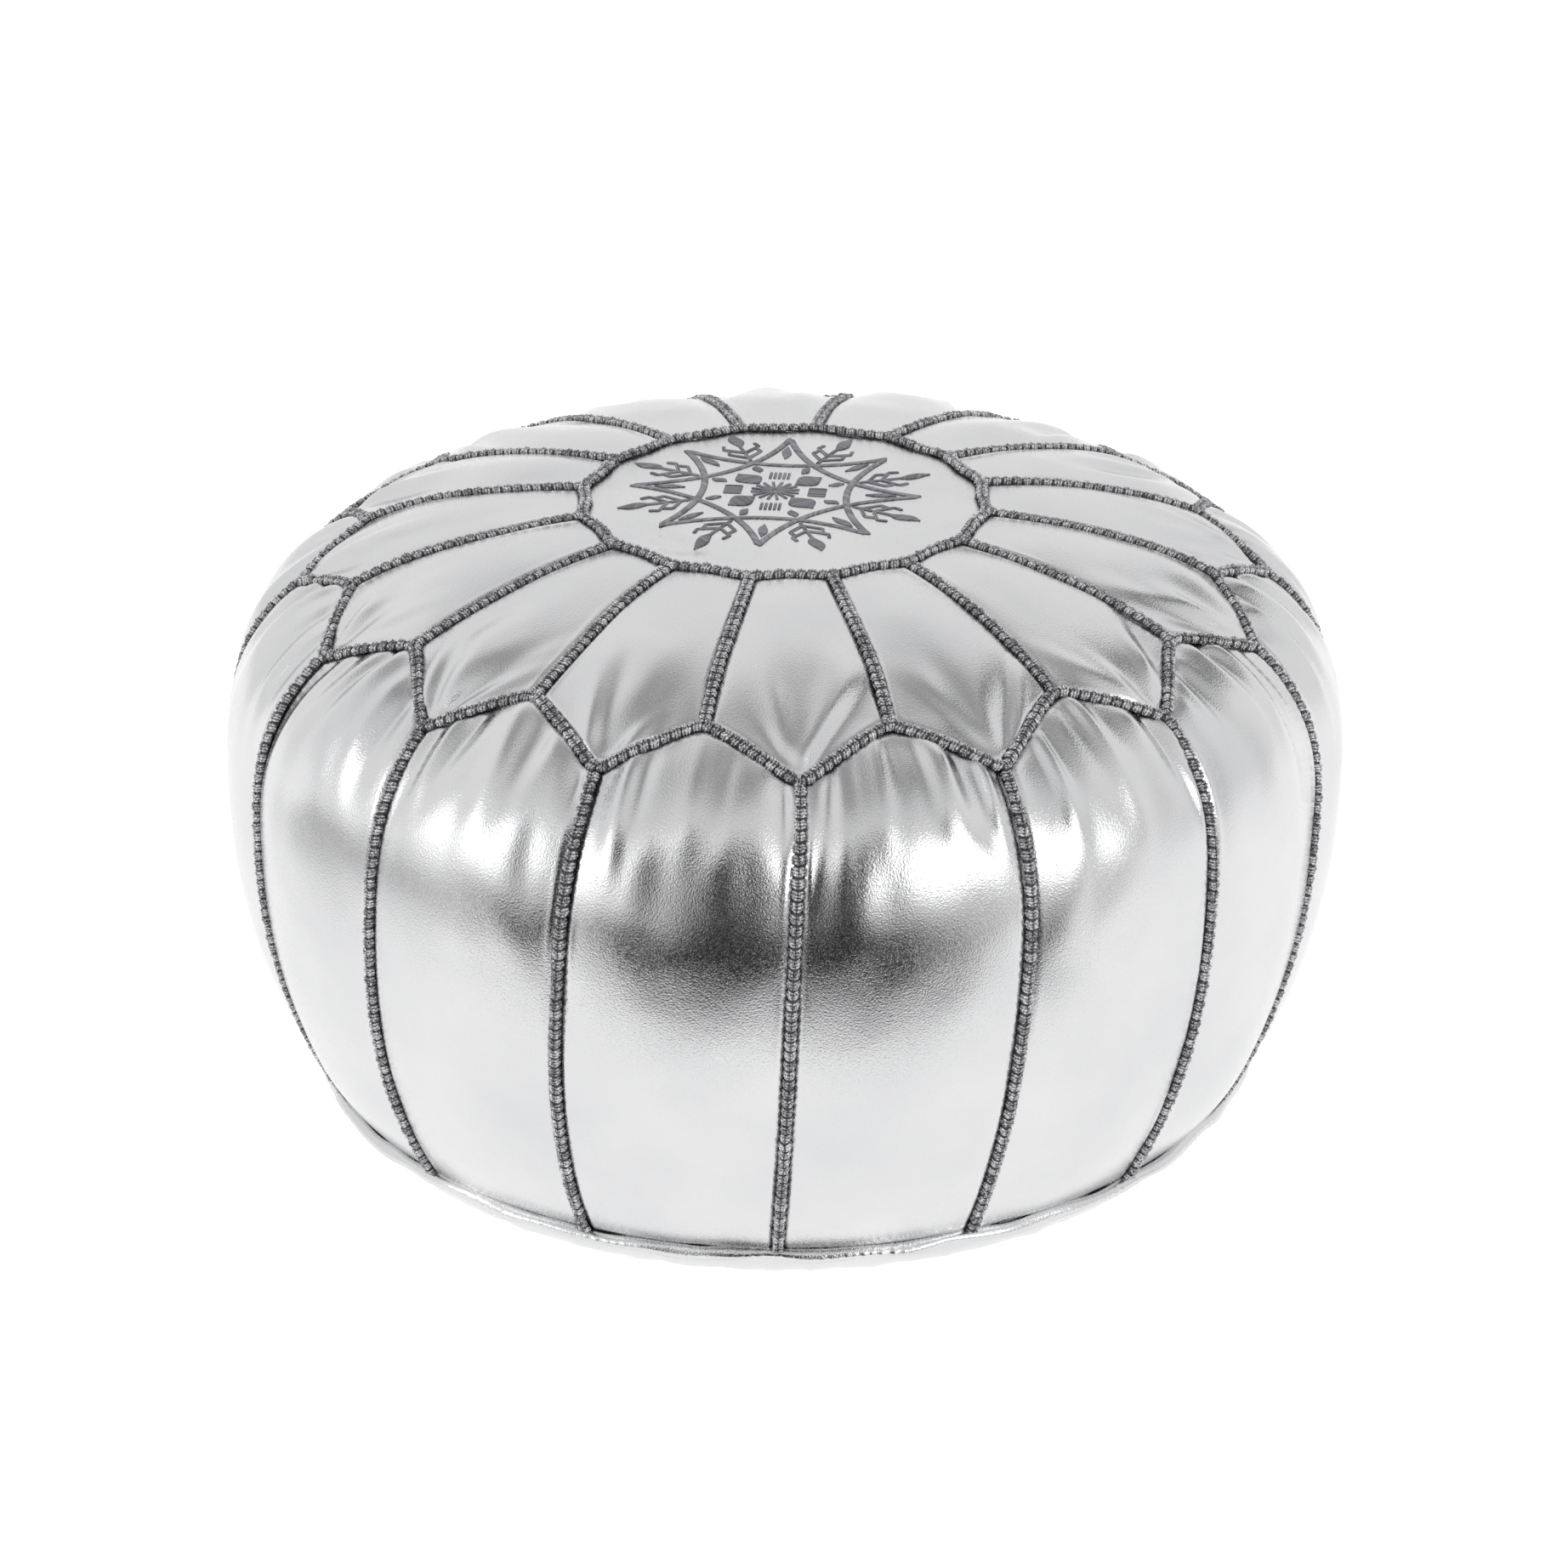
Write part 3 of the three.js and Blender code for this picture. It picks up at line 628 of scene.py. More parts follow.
thread_colour = colour_ramp(tree, shaded.outputs["Value"], thread_colours)
cord = add_node(tree, "ShaderNodeBsdfPrincipled", Base_Color=thread_colour, Roughness=0.52,
                Specular_IOR_Level=0.45, Normal=thread_bump.outputs["Normal"])
add_node(tree, "ShaderNodeOutputMaterial", Surface=cord.outputs["BSDF"])


def spindle(stations, sides=4):
    """Points and faces of a closed spindle. A station is a centre, a half width and a half height."""
    points, faces = [], []
    centres = [Vector(station[0]) for station in stations]
    for number, (centre, half_width, half_height) in enumerate(stations):
        ahead = centres[min(number + 1, len(centres) - 1)] - centres[max(number - 1, 0)]
        across = Vector((1, 0, 0))
        raised = across.cross(ahead.normalized())
        if raised.z < 0:
            raised = -raised
        for side in range(sides):
            angle = 2 * math.pi * side / sides
            sideways = across * half_width * math.cos(angle)
            points.append(Vector(centre) + sideways + raised * half_height * math.sin(angle))
    for number in range(len(stations) - 1):
        for side in range(sides):
            beside = (side + 1) % sides
            first, second = number * sides, (number + 1) * sides
            faces.append((first + side, first + beside, second + beside, second + side))
    faces.append(tuple(range(sides))[::-1])
    faces.append(tuple((len(stations) - 1) * sides + side for side in range(sides)))
    return points, faces


def facing_out(mesh):
    """Turns every face of a closed mesh outwards."""
    shell = bmesh.new()
    shell.from_mesh(mesh)
    bmesh.ops.recalc_face_normals(shell, faces=shell.faces)
    shell.to_mesh(mesh)
    shell.free()


def knot_mesh():
    """One knot, lying along X, with its six strands and the cord under them. Each point carries a painted
    shade: the strands darken towards their ends, most where they dive into the middle of the seam, and the
    cord, seen only in the gaps between the knots, is painted dark as shade.
    """
    points, faces, painted_shades = [], [], []
    for side in (-1, 1):
        for place in (-1, 0, 1):
            middle = place * STRAND_SPACING
            rounding = 0.0004 * abs(place)
            outer_end = (middle * 0.9 - 0.0003, side * (BRAID_HALF_WIDTH - rounding), -0.0002)
            crest = (middle, side * BRAID_HALF_WIDTH * 0.56, LOBE_HEIGHT - rounding)
            inner_end = (middle + 0.0005, side * 0.00020, 0.0018)
            stations = [(outer_end, 0.00058, 0.00050), (crest, 0.00074, 0.00080),
                        (inner_end, 0.00062, 0.00062)]
            strand_points, strand_faces = spindle(stations)
            faces += [tuple(corner + len(points) for corner in face) for face in strand_faces]
            points += strand_points
            # Painted shade: each strand is darker at its ends, most at the inner end, where it dives into the
            # seam.
            painted_shades += [0.95] * 4 + [1.0] * 4 + [0.72] * 4
    half = KNOT_SPACING * 0.52
    core_section = [(-CORE_HALF_WIDTH, CORE_LOW), (-CORE_TOP_HALF_WIDTH, CORE_HIGH),
                    (CORE_TOP_HALF_WIDTH, CORE_HIGH), (CORE_HALF_WIDTH, CORE_LOW)]
    core = [(x, y, z) for x in (-half, half) for y, z in core_section]
    start = len(points)
    core_faces = [(i, (i + 1) % 4, (i + 1) % 4 + 4, i + 4) for i in range(4)] + [(3, 2, 1, 0), (4, 5, 6, 7)]
    faces += [tuple(start + corner for corner in face) for face in core_faces]
    points += core
    # Painted shade: the cord under the knots is darkened, as shade falls in the gaps between them.
    painted_shades += [0.12] * len(core)
    knot = mesh_object("knot", points, faces)
    facing_out(knot.data)
    knot.data.attributes.new("shade", "FLOAT", "POINT").data.foreach_set("value", painted_shades)
    return knot


def group_input(tree, name, kind):
    return tree.interface.new_socket(name, in_out="INPUT", socket_type=kind).identifier


def stored_vector(tree, name):
    """The vector that each point holds under a name."""
    node = add_node(tree, "GeometryNodeInputNamedAttribute", {"data_type": "FLOAT_VECTOR"}, Name=name)
    return node.outputs["Attribute"]


def store_vectors(mesh, name, vectors):
    attribute = mesh.attributes.new(name, "FLOAT_VECTOR", "POINT")
    attribute.data.foreach_set("vector", np.array(vectors, float).ravel())


def finish_threads(tree, threads, least_tone, most_tone, seed, thread):
    """Ends a group: each thread gets its own tone, they become real, and the thread's material goes on."""
    tones = add_node(tree, "FunctionNodeRandomValue", {"data_type": "FLOAT"}, Min=least_tone, Max=most_tone,
                     Seed=seed)
    toned = add_node(tree, "GeometryNodeStoreNamedAttribute", {"data_type": "FLOAT", "domain": "INSTANCE"},
                     Geometry=threads, Name="tone", Value=tones.outputs["Value"])
    real = add_node(tree, "GeometryNodeRealizeInstances", Geometry=toned.outputs["Geometry"])
    dyed = add_node(tree, "GeometryNodeSetMaterial", Geometry=real.outputs["Geometry"], Material=thread)
    tree.links.new(dyed.outputs["Geometry"], tree.nodes.new("NodeGroupOutput").inputs[0])


braid_tree = bpy.data.node_groups.new("braid", "GeometryNodeTree")
braid_inputs = {name: group_input(braid_tree, name, kind) for name, kind in (
    ("Seams", "NodeSocketGeometry"), ("Knot", "NodeSocketObject"), ("Knot Spacing", "NodeSocketFloat"),
    ("Unevenness", "NodeSocketFloat"), ("Seed", "NodeSocketInt"), ("Thread", "NodeSocketMaterial"))}
braid_tree.interface.new_socket("Braid", in_out="OUTPUT", socket_type="NodeSocketGeometry")
given = braid_tree.nodes.new("NodeGroupInput").outputs
seam_curves = add_node(braid_tree, "GeometryNodeMeshToCurve", Mesh=given["Seams"])
knot_points = add_node(braid_tree, "GeometryNodeResampleCurve", {"mode": "LENGTH"},
                       Curve=seam_curves.outputs["Curve"], Length=given["Knot Spacing"])
along = add_node(braid_tree, "GeometryNodeInputTangent")
laid = add_node(braid_tree, "FunctionNodeAxesToRotation", {"primary_axis": "Z", "secondary_axis": "X"},
                Primary_Axis=stored_vector(braid_tree, "outward"), Secondary_Axis=along.outputs["Tangent"])
most = add_node(braid_tree, "ShaderNodeVectorMath", {"operation": "SCALE"}, Vector=(1.0, 0.8, 1.0),
                Scale=given["Unevenness"])
least = add_node(braid_tree, "ShaderNodeVectorMath", {"operation": "SCALE"}, Vector=(-1.0, -0.8, -1.0),
                 Scale=given["Unevenness"])
turn = add_node(braid_tree, "FunctionNodeRandomValue", {"data_type": "FLOAT_VECTOR"},
                Min=least.outputs["Vector"], Max=most.outputs["Vector"], Seed=given["Seed"])
turning = add_node(braid_tree, "FunctionNodeEulerToRotation", Euler=turn.outputs["Value"])
turned = add_node(braid_tree, "FunctionNodeRotateRotation", {"rotation_space": "LOCAL"},
                  Rotation=laid.outputs["Rotation"], Rotate_By=turning.outputs["Rotation"])
size = add_node(braid_tree, "FunctionNodeRandomValue", {"data_type": "FLOAT_VECTOR"},
                Min=(0.96, 0.90, 0.90), Max=(1.04, 1.08, 1.10), Seed=given["Seed"])
one_knot = add_node(braid_tree, "GeometryNodeObjectInfo", Object=given["Knot"])
knots = add_node(braid_tree, "GeometryNodeInstanceOnPoints", Points=knot_points.outputs["Curve"],
                 Instance=one_knot.outputs["Geometry"], Rotation=turned.outputs["Rotation"],
                 Scale=size.outputs["Value"])
finish_threads(braid_tree, knots.outputs["Instances"], 0.24, 0.58, given["Seed"], given["Thread"])


def seam_lines(name, lines):
    """An object of edges along the seams. A line is its azimuths, its girths, and whether it is a loop."""
    points, outwards, edges = [], [], []
    for azimuth, girth, loop in lines:
        start = len(points)
        points += list(on_surface(azimuth, girth, BRAID_LIFT))
        outwards += list(on_surface(azimuth, girth, 1) - on_surface(azimuth, girth, 0))
        edges += [(start + i, start + i + 1) for i in range(len(azimuth) - 1)]
        if loop:
            edges.append((start + len(azimuth) - 1, start))
    mesh = bpy.data.meshes.new(name)
    mesh.from_pydata([tuple(p) for p in points], edges, [])
    store_vectors(mesh, "outward", outwards)
    lines_object = bpy.data.objects.new(name, mesh)
    scene.collection.objects.link(lines_object)
    return lines_object


def braided(name, lines, knot, seed):
    piece = seam_lines(name, lines)
    braid = piece.modifiers.new("braid", "NODES")
    braid.node_group = braid_tree
    for key, value in (("Knot", knot), ("Knot Spacing", KNOT_SPACING), ("Unevenness", 0.10), ("Seed", seed),
                       ("Thread", braid_thread)):
        braid[braid_inputs[key]] = value
    return plain_mesh(piece)


round_azimuth = FRONT + np.linspace(0, 2 * math.pi, 640, endpoint=False)
top_lines = [(round_azimuth, ring_girth(round_azimuth), True)]
side_lines = []
for i in range(PANELS):
    ring = float(ring_girth(petal_seam(i, np.array(0.0))))
    girth = np.linspace(ring + 0.003, corner_girth[2 * i + 1] - 0.003, 60)
    top_lines.append((petal_seam(i, girth), girth, False))
    girth = np.linspace(corner_girth[2 * i] + 0.004, FULL_GIRTH - 0.002, 90)
    side_lines.append((side_seam(i, girth), girth, False))
knot = knot_mesh()
top_braid = braided("top_braid_knots", top_lines, knot, 1)
zigzag_braid = braided("zigzag_braid_knots", [(round_azimuth, zigzag_girth(round_azimuth), True)], knot, 2)
side_braid = braided("side_braid_knots", side_lines, knot, 3)
bpy.data.objects.remove(knot)
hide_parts("top_braid")
for piece in (zigzag_braid, side_braid):
    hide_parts("shoulder_braid")
for piece in (top_braid, zigzag_braid, side_braid):
    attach(piece, "cover")


# ---- Star embroidery ----
# The medallion is embroidered by hand in grey silk. Two squares with bowed sides cross in a star of stem
# stitch, with satin-stitch leaves in its points, a sprig at each crossing, and a rosette in its middle.

STAR_CENTRE = (-0.004, 0.011)
STAR_TURN = math.radians(-8)
STAR_RADIUS = 0.0705
STAR_WAIST = 0.035
THREAD_WIDTH = 0.0009
stitch_ends = []
stitch_widths = []


def star_point(radius, angle):
    return Vector((radius * math.cos(angle), radius * math.sin(angle)))


def stitch(start, end, width=THREAD_WIDTH):
    stitch_ends.append((start, end))
    stitch_widths.append(width)


def stem_stitches(line, width):
    """Overlapping slanted stitches that follow a line like a twisted rope."""
    lengths = [0]
    for first, second in zip(line[:-1], line[1:]):
        lengths.append(lengths[-1] + (second - first).length)
    xs, ys = [p.x for p in line], [p.y for p in line]
    places = np.arange(0, lengths[-1], 0.0016)
    for place in places:
        ends = [max(place - 0.0022, 0), min(place + 0.0022, lengths[-1])]
        first, second = (Vector((np.interp(e, lengths, xs), np.interp(e, lengths, ys))) for e in ends)
        sideways = (second - first).normalized().orthogonal() * width * 0.30
        stitch(first - sideways, second + sideways, width * 0.62)


def leaf(base, tip, width, slant=0.5):
    """Satin stitches laid side by side across a leaf."""
    axis = tip - base
    forward = axis.normalized()
    sideways = forward.orthogonal()
    count = max(int(axis.length / (THREAD_WIDTH * 0.85)), 3)
    for number in range(count):
        place = (number + 0.5) / count
        half = 0.5 * width * math.sin(math.pi * place) ** 1.25 + 0.0002
        middle = base + axis * place
        reach = sideways * half + forward * half * slant
        stitch(middle - reach, middle + reach)


def bars(centre, direction, length, width, count):
    """A block of upright bars, each of two stitches."""
    forward = direction.normalized()
    sideways = forward.orthogonal()
    for number in range(count):
        middle = centre + forward * length * ((number + 0.5) / count - 0.5)
        for shift in (-0.25, 0.25):
            bar = middle + forward * shift * THREAD_WIDTH * 1.6
            stitch(bar - sideways * width / 2, bar + sideways * width / 2)


def running_stitches(line, width):
    for first, second in zip(line[:-1], line[1:]):
        forward = (second - first).normalized() * 0.0003
        sideways = forward.orthogonal().normalized() * width * 0.3
        for side in (-1, 1):
            stitch(first - forward + sideways * side, second + forward + sideways * side, width * 0.65)


for number in range(8):
    tip_angle = STAR_TURN + number * math.pi / 4
    crossing_angle = tip_angle + math.pi / 8
    start, end = star_point(STAR_RADIUS, tip_angle), star_point(STAR_RADIUS, tip_angle + math.pi / 2)
    bend = star_point(2 * STAR_WAIST - STAR_RADIUS * math.cos(math.pi / 4), tip_angle + math.pi / 4)
    side = [start * (1 - t) ** 2 + bend * 2 * t * (1 - t) + end * t * t for t in np.linspace(0, 1, 25)]
    stem_stitches(side, 0.0038)
    leaf(star_point(0.044, tip_angle), star_point(0.059, tip_angle), 0.0042)
    leaf(star_point(0.027, crossing_angle), star_point(0.035, crossing_angle), 0.0042)
    out = star_point(1, crossing_angle)
    across = out.orthogonal()
    running_stitches([out * 0.043, out * 0.053, out * 0.064], 0.0016)
    leaf(out * 0.062, out * 0.079, 0.0064)
    for along_stem, reach in ((0.047, 0.0095), (0.054, 0.0105)):
        for side in (-1, 1):
            elbow = out * (along_stem + 0.0065) + across * side * reach * 0.85
            hook = elbow + out * 0.0045 - across * side * 0.001
            running_stitches([out * along_stem, elbow, hook], 0.0016)
    if number % 2:
        leaf(star_point(0.0125, tip_angle), star_point(0.0290, tip_angle), 0.0125, 0.15)
    else:
        bars(star_point(0.0205, tip_angle), star_point(1, tip_angle).orthogonal(), 0.0110, 0.0085, 5)
for number in range(16):
    angle = STAR_TURN + (number + 0.5) * math.pi / 8
    running_stitches([star_point(radius, angle) for radius in (0.0015, 0.0075, 0.0115)], 0.0013)


def stitch_mesh():
    """One stitch of unit length along X, plump in the middle."""
    rings = [((x, 0, 0), half, half) for x, half in ((-0.5, 0.2), (-0.36, 0.46), (0.36, 0.46), (0.5, 0.2))]
    points, faces = [], []
    for centre, half_width, half_height in rings:
        for side in range(6):
            angle = 2 * math.pi * side / 6
            points.append((centre[0], half_width * math.cos(angle), half_height * math.sin(angle)))
    for number in range(len(rings) - 1):
        for side in range(6):
            beside = (side + 1) % 6
            first, second = number * 6, (number + 1) * 6
            faces.append((first + side, first + beside, second + beside, second + side))
    faces.append((5, 4, 3, 2, 1, 0))
    faces.append(tuple(18 + side for side in range(6)))
    piece = mesh_object("stitch", points, faces)
    facing_out(piece.data)
    return piece


stitch_tree = bpy.data.node_groups.new("stitches", "GeometryNodeTree")
stitch_inputs = {name: group_input(stitch_tree, name, kind) for name, kind in (
    ("Stitch Places", "NodeSocketGeometry"), ("Stitch", "NodeSocketObject"),
    ("Least Tone", "NodeSocketFloat"), ("Most Tone", "NodeSocketFloat"), ("Seed", "NodeSocketInt"),
    ("Thread", "NodeSocketMaterial"))}
stitch_tree.interface.new_socket("Stitches", in_out="OUTPUT", socket_type="NodeSocketGeometry")
given = stitch_tree.nodes.new("NodeGroupInput").outputs
places = add_node(stitch_tree, "GeometryNodeMeshToPoints", Mesh=given["Stitch Places"])
laid = add_node(stitch_tree, "FunctionNodeAxesToRotation", {"primary_axis": "X", "secondary_axis": "Z"},
                Primary_Axis=stored_vector(stitch_tree, "along"),
                Secondary_Axis=stored_vector(stitch_tree, "outward"))
one_stitch = add_node(stitch_tree, "GeometryNodeObjectInfo", Object=given["Stitch"])
sewn = add_node(stitch_tree, "GeometryNodeInstanceOnPoints", Points=places.outputs["Points"],
                Instance=one_stitch.outputs["Geometry"], Rotation=laid.outputs["Rotation"],
                Scale=stored_vector(stitch_tree, "size"))
finish_threads(stitch_tree, sewn.outputs["Instances"], given["Least Tone"], given["Most Tone"],
               given["Seed"], given["Thread"])

embroidery_silk, tree = new_material("embroidery_silk")
position = add_node(tree, "ShaderNodeTexCoord").outputs["Object"]
fibres = add_node(tree, "ShaderNodeTexNoise", Vector=position, Scale=2200.0, Detail=2.0)
stitch_tone = add_node(tree, "ShaderNodeAttribute", {"attribute_name": "tone"}).outputs["Fac"]
silk_bump = add_node(tree, "ShaderNodeBump", Height=fibres.outputs["Fac"], Strength=0.3, Distance=0.0002)
silk_colour = colour_ramp(tree, stitch_tone, [(0.0, (0.07, 0.07, 0.08)), (1.0, (0.22, 0.22, 0.24))])
silk = add_node(tree, "ShaderNodeBsdfPrincipled", Base_Color=silk_colour, Roughness=0.42,
                Specular_IOR_Level=0.5, Normal=silk_bump.outputs["Normal"])
add_node(tree, "ShaderNodeOutputMaterial", Surface=silk.outputs["BSDF"])


STITCH_HEIGHT = 0.0008
starts = np.array([tuple(start) for start, _ in stitch_ends]) + STAR_CENTRE
ends = np.array([tuple(end) for _, end in stitch_ends]) + STAR_CENTRE
middles = (starts + ends) / 2
raised = MEDALLION_HEIGHT + medallion_height(middles[:, 0], middles[:, 1]) + 0.0002
lengths = np.linalg.norm(ends - starts, axis=1) + 0.0003
mesh = bpy.data.meshes.new("star_stitches")
mesh.from_pydata([tuple(p) for p in np.column_stack([middles, raised])], [], [])
store_vectors(mesh, "along", np.column_stack([ends - starts, np.zeros(len(ends))]))
store_vectors(mesh, "outward", np.tile((0, 0, 1), (len(ends), 1)))
store_vectors(mesh, "size", np.column_stack([lengths, stitch_widths, np.full(len(ends), STITCH_HEIGHT)]))
embroidery = bpy.data.objects.new("star_stitches", mesh)
scene.collection.objects.link(embroidery)
single_stitch = stitch_mesh()
sewing = embroidery.modifiers.new("sewing", "NODES")
sewing.node_group = stitch_tree
for key, value in (("Stitch", single_stitch), ("Least Tone", 0.1), ("Most Tone", 0.9), ("Seed", 5),
                   ("Thread", embroidery_silk)):
    sewing[stitch_inputs[key]] = value
plain_mesh(embroidery)
bpy.data.objects.remove(single_stitch)
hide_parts("star_embroidery")
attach(embroidery, "cover")


# ---- Base welt ----
# A folded strip of leather is caught in the seam between the sides and the base. It runs right round the
# pouf, wavy and finely pleated, because it is gathered to go round the curve.

WELT_RADIUS = 0.2352
WELT_HEIGHT = 0.0192
WELT_HALF_WIDTH = 0.0034
WELT_HALF_THICKNESS = 0.0019
WELT_TILT = -0.75
WELT_STEPS = 1440
WELT_SIDES = 12
welt_random = np.random.default_rng(23)


def ripple(azimuth, waves, generator):
    """A smooth wandering round the circle, from about -1 to 1, as a sum of whole numbers of waves."""
    total = np.zeros_like(azimuth)
    for wave in waves:
        total += generator.uniform(0.5, 1) * np.sin(wave * azimuth + generator.uniform(0, 2 * math.pi))
    return total / math.sqrt(len(waves))


azimuth = np.linspace(0, 2 * math.pi, WELT_STEPS, endpoint=False)[:, None]
around = np.linspace(0, 2 * math.pi, WELT_SIDES, endpoint=False)[None, :]
pleats = ripple(azimuth, [211, 263, 307, 353, 397], welt_random)
pleats = pleats * soft_step(-0.6, 0.8, ripple(azimuth, [9, 14, 23], welt_random))
middle_radius = WELT_RADIUS + 0.0008 * ripple(azimuth, [7, 13, 19, 31], welt_random)
middle_height = WELT_HEIGHT + 0.0011 * ripple(azimuth, [8, 11, 17, 29], welt_random)
wide = WELT_HALF_WIDTH + 0.0005 * ripple(azimuth, [16, 37, 53], welt_random) + 0.00030 * pleats
thick = WELT_HALF_THICKNESS + 0.0003 * ripple(azimuth, [21, 43], welt_random)
tilt = WELT_TILT + 0.22 * ripple(azimuth, [10, 17, 27], welt_random)
sideways = wide * np.cos(around)
upward = thick * np.sin(around) + 0.00025 * pleats * np.cos(around)
radius = middle_radius + sideways * np.cos(tilt) - upward * np.sin(tilt)
height = middle_height + sideways * np.sin(tilt) + upward * np.cos(tilt)
points = np.stack([radius * np.cos(azimuth), radius * np.sin(azimuth), height], axis=-1).reshape(-1, 3)
faces = []
for step in range(WELT_STEPS):
    for side in range(WELT_SIDES):
        here, ahead = step * WELT_SIDES, (step + 1) % WELT_STEPS * WELT_SIDES
        beside = (side + 1) % WELT_SIDES
        faces.append((here + side, ahead + side, ahead + beside, here + beside))
welt = mesh_object("base_welt_leather", points, faces, silver_leather)
facing_out(welt.data)
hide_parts("base_welt")
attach(welt, "cover")


# ---- Base halves ----
# Two half rounds of leather close the bottom. They are sewn together in line with the zip, curve under from
# the welt to the floor, stand on a flat ring, and rise to a shallow dish round the zip.

BASE_EDGE_RADIUS = 0.2324
BASE_COLUMNS = 120
ZIP_HALF_LENGTH = 0.1436
ZIP_HALF_WIDTH = 0.0054
base_rows = np.concatenate([[0, 0.003, 0.007], np.linspace(0.0127, 0.165, 13), np.linspace(0.169, 0.188, 9),
                            np.linspace(0.195, 0.212, 4), np.linspace(0.2145, BASE_EDGE_RADIUS, 14)])
base_profile_radius = np.array([0, 0.170, 0.173, 0.178, 0.183, 0.186, 0.214])
base_profile_height = np.array([0.009, 0.009, 0.0084, 0.0045, 0.0006, 0, 0])


def base_height(radius):
    rise = np.clip((radius - 0.214) / (BASE_EDGE_RADIUS - 0.214), 0, 1)
    rim = 0.0188 * (1 - np.sqrt(1 - rise ** 2))
    return np.where(radius > 0.214, rim, np.interp(radius, base_profile_radius, base_profile_height))


for node, sign in (("base_front_half", -1), ("base_rear_half", 1)):
    azimuth = np.linspace(0, math.pi, BASE_COLUMNS + 1)[None, :]
    x = base_rows[:, None] * np.cos(azimuth)
    y = base_rows[:, None] * np.sin(azimuth)
    opening = ZIP_HALF_WIDTH * (1 - soft_step(ZIP_HALF_LENGTH - 0.003, ZIP_HALF_LENGTH + 0.001, np.abs(x)))
    edge = np.maximum(opening, 0.0003)
    furthest = np.sqrt(np.maximum(BASE_EDGE_RADIUS ** 2 - x ** 2, 1e-12))
    y = edge + y * np.maximum(1 - edge / furthest, 0)
    radius = np.minimum(np.hypot(x, y), BASE_EDGE_RADIUS)
    spot = np.stack([x, sign * y, np.zeros_like(x)], axis=-1)
    pucker = ripple(np.arctan2(sign * y, x), [34, 51, 67, 88], np.random.default_rng(29))
    near_rim = soft_step(0.195, 0.226, radius) * (1 - soft_step(0.229, 0.2324, radius))
    height = base_height(radius) + 0.0007 * (1 + pucker) * near_rim
    height = height + 0.0006 * (1 + lumps(spot, 0.05, 31)) * soft_step(0.205, 0.18, radius)
    height = height - 0.0007 * np.exp(-((y - edge) / 0.003) ** 2) * (base_height(radius) > 0.002)
    points = np.stack([x, sign * y, np.maximum(height, 0)], axis=-1).reshape(-1, 3)
    half = mesh_object(node + "_leather", points, grid_faces(len(base_rows), BASE_COLUMNS + 1),
                       silver_leather)
    shell = bmesh.new()
    shell.from_mesh(half.data)
    bmesh.ops.remove_doubles(shell, verts=shell.verts, dist=0.00005)
    bmesh.ops.recalc_face_normals(shell, faces=shell.faces)
    shell.normal_update()
    if sum(face.normal.z * face.calc_area() for face in shell.faces) > 0:
        bmesh.ops.reverse_faces(shell, faces=shell.faces)
    shell.to_mesh(half.data)
    shell.free()
    thickness = half.modifiers.new("thickness", "SOLIDIFY")
    thickness.thickness = LEATHER * 0.9
    thickness.offset = -1
    plain_mesh(half)
    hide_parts(node)
    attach(half, "cover")


# ---- Zip ----
# A coarse metal zip closes the base, so that the cover can be stuffed. Its teeth are crimped to two woven
# tapes, which are sewn to the leather. The slider and its pull are cast metal.

zip_metal, tree = new_material("zip_metal")
position = add_node(tree, "ShaderNodeTexCoord").outputs["Object"]
cast = add_node(tree, "ShaderNodeTexNoise", Vector=position, Scale=700.0, Detail=4.0)
rubbed = add_node(tree, "ShaderNodeTexNoise", Vector=position, Scale=110.0, Detail=3.0)
metal_colour = colour_ramp(tree, rubbed.outputs["Fac"],
                           [(0.35, (0.42, 0.42, 0.44)), (0.65, (0.62, 0.62, 0.63))])
metal_shine = add_node(tree, "ShaderNodeMapRange", Value=rubbed.outputs["Fac"], From_Min=0.3, From_Max=0.7,
                       To_Min=0.42, To_Max=0.25)
metal_bump = add_node(tree, "ShaderNodeBump", Height=cast.outputs["Fac"], Strength=0.2, Distance=0.0002)
metal = add_node(tree, "ShaderNodeBsdfPrincipled", Base_Color=metal_colour, Metallic=1.0,
                 Roughness=metal_shine.outputs["Result"], Normal=metal_bump.outputs["Normal"])
add_node(tree, "ShaderNodeOutputMaterial", Surface=metal.outputs["BSDF"])
for node in ("zip_teeth_front", "zip_teeth_rear", "zip_stop_closed_end", "zip_stop_open_end", "zip_slider",
             "zip_pull"):
    bpy.data.objects[node].material_slots[0].material = zip_metal

tape_weave, tree = new_material("tape_weave")
position = add_node(tree, "ShaderNodeTexCoord").outputs["Object"]
ribs = add_node(tree, "ShaderNodeTexWave", {"bands_direction": "DIAGONAL"}, Vector=position, Scale=420.0,
                Distortion=0.6, Detail=1.0)
fuzz = add_node(tree, "ShaderNodeTexNoise", Vector=position, Scale=1150.0, Detail=2.0)
tape_colour = colour_ramp(tree, ribs.outputs["Fac"], [(0.2, (0.16, 0.16, 0.17)), (0.8, (0.34, 0.34, 0.35))])
rib_bump = add_node(tree, "ShaderNodeBump", Height=ribs.outputs["Fac"], Strength=0.6, Distance=0.0002)
fuzz_bump = add_node(tree, "ShaderNodeBump", Height=fuzz.outputs["Fac"], Strength=0.3, Distance=0.0002,
                     Normal=rib_bump.outputs["Normal"])
tape = add_node(tree, "ShaderNodeBsdfPrincipled", Base_Color=tape_colour, Roughness=0.85,
                Specular_IOR_Level=0.2, Normal=fuzz_bump.outputs["Normal"])
add_node(tree, "ShaderNodeOutputMaterial", Surface=tape.outputs["BSDF"])
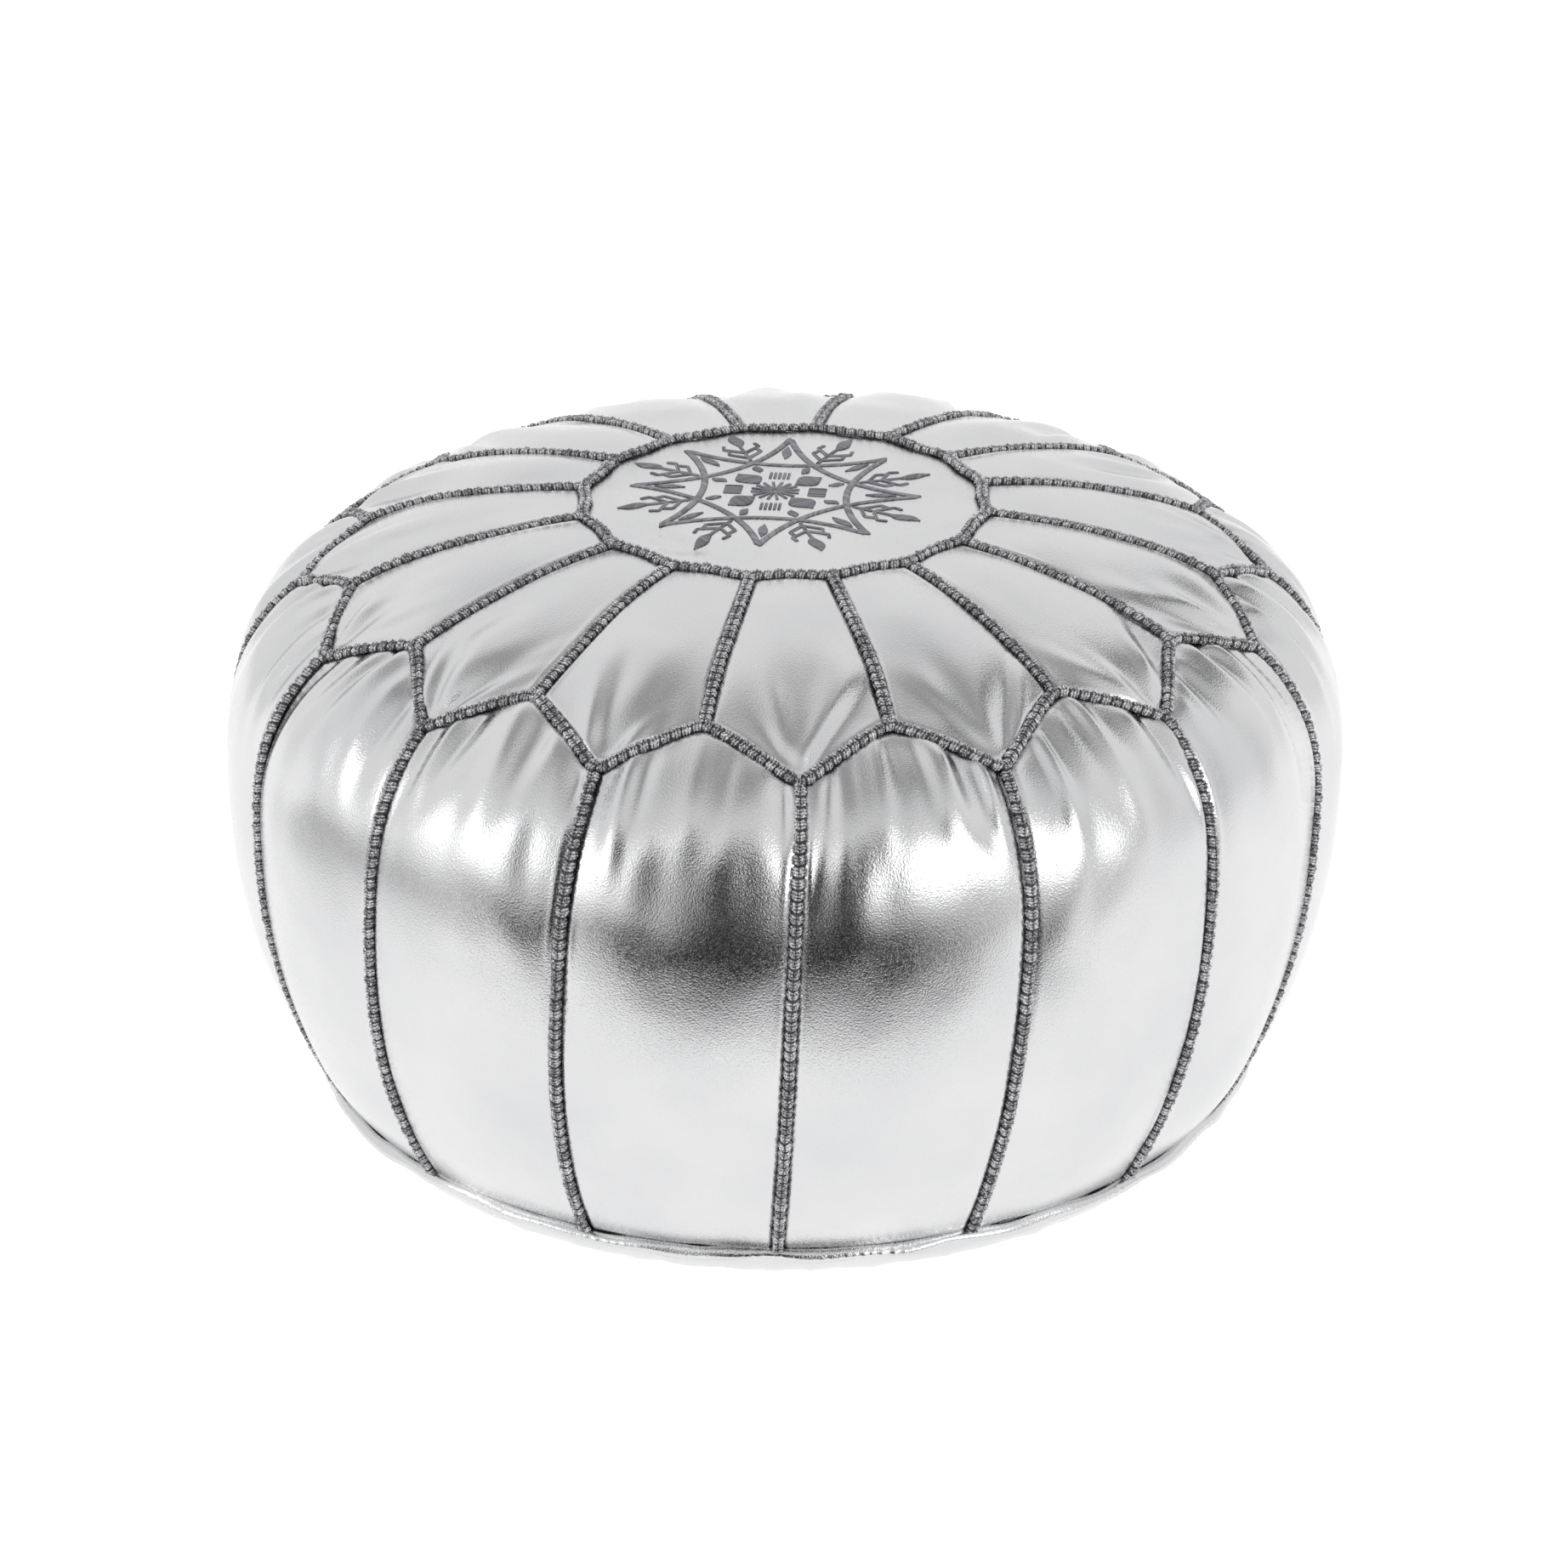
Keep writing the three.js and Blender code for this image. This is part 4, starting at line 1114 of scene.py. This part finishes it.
for node in ("zip_tape_front", "zip_tape_rear"):
    bpy.data.objects[node].material_slots[0].material = tape_weave


# ---- Cotton stuffing ----
# Cotton waste is packed in by hand through the zip until the cover is tight. It fills the cover wall to
# wall, in small lumps.

STUFFING_GAP = 0.0055
STUFFING_COLUMNS = 160
STUFFING_MIDDLE = 0.15
side_stations = np.linspace(-0.09, FULL_GIRTH - 0.004, 60)
profile_radius = np.interp(side_stations, outline_girth, outline_radius)
profile_height = np.interp(side_stations, outline_girth, outline_height)
profile_slope = np.interp(side_stations, outline_girth, outline_slope)
profile_radius = profile_radius + np.sin(profile_slope) * STUFFING_GAP
profile_height = np.minimum(profile_height - np.cos(profile_slope) * STUFFING_GAP, 0.2935)
under_radius = np.array([0.222, 0.213, 0.200, 0.188, 0.176, 0.166, 0.130, 0.090, 0.050, 0.012])
under_height = np.array([0.0130, 0.0075, 0.0065, 0.0075, 0.0140, 0.0185, 0.0190, 0.0190, 0.0190, 0.0190])
profile_radius = np.concatenate([[0.012], profile_radius[profile_radius > 0.012], under_radius])
profile_height = np.concatenate([[profile_height[0]], profile_height[-len(profile_radius) + 11:],
                                 under_height])
azimuth = np.linspace(0, 2 * math.pi, STUFFING_COLUMNS, endpoint=False)[None, :]
points = np.stack([profile_radius[:, None] * np.cos(azimuth), profile_radius[:, None] * np.sin(azimuth),
                   profile_height[:, None] + 0 * azimuth], axis=-1)
inward = 0.0008 * (1 + lumps(points, 0.03, 41)) + 0.0004 * (1 + lumps(points, 0.012, 42))
to_middle = np.array((0, 0, STUFFING_MIDDLE)) - points
points = points + inward[..., None] * to_middle / np.linalg.norm(to_middle, axis=-1, keepdims=True)
rows = len(profile_radius)
flat_points = np.concatenate([points.reshape(-1, 3), [points[0].mean(axis=0)], [points[-1].mean(axis=0)]])
faces = []
for column in range(STUFFING_COLUMNS):
    beside = (column + 1) % STUFFING_COLUMNS
    for row in range(rows - 1):
        here, below = row * STUFFING_COLUMNS, (row + 1) * STUFFING_COLUMNS
        faces.append((here + column, below + column, below + beside, here + beside))
    faces.append((rows * STUFFING_COLUMNS, column, beside))
    last_row = (rows - 1) * STUFFING_COLUMNS
    faces.append((rows * STUFFING_COLUMNS + 1, last_row + beside, last_row + column))
cotton, tree = new_material("cotton")
position = add_node(tree, "ShaderNodeTexCoord").outputs["Object"]
tufts = add_node(tree, "ShaderNodeTexNoise", Vector=position, Scale=90.0, Detail=6.0)
hairs = add_node(tree, "ShaderNodeTexNoise", Vector=position, Scale=1200.0, Detail=3.0, Distortion=1.5)
cotton_colour = colour_ramp(tree, tufts.outputs["Fac"],
                            [(0.3, (0.62, 0.60, 0.55)), (0.7, (0.80, 0.79, 0.75))])
tuft_bump = add_node(tree, "ShaderNodeBump", Height=tufts.outputs["Fac"], Strength=0.7, Distance=0.002)
hair_bump = add_node(tree, "ShaderNodeBump", Height=hairs.outputs["Fac"], Strength=0.4, Distance=0.0004,
                     Normal=tuft_bump.outputs["Normal"])
wadding = add_node(tree, "ShaderNodeBsdfPrincipled", Base_Color=cotton_colour, Roughness=0.95,
                   Sheen_Weight=0.3, Normal=hair_bump.outputs["Normal"])
add_node(tree, "ShaderNodeOutputMaterial", Surface=wadding.outputs["BSDF"])
stuffing = mesh_object("cotton_wadding", flat_points, faces, cotton)
facing_out(stuffing.data)
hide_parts("cotton_stuffing")
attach(stuffing, "cover")
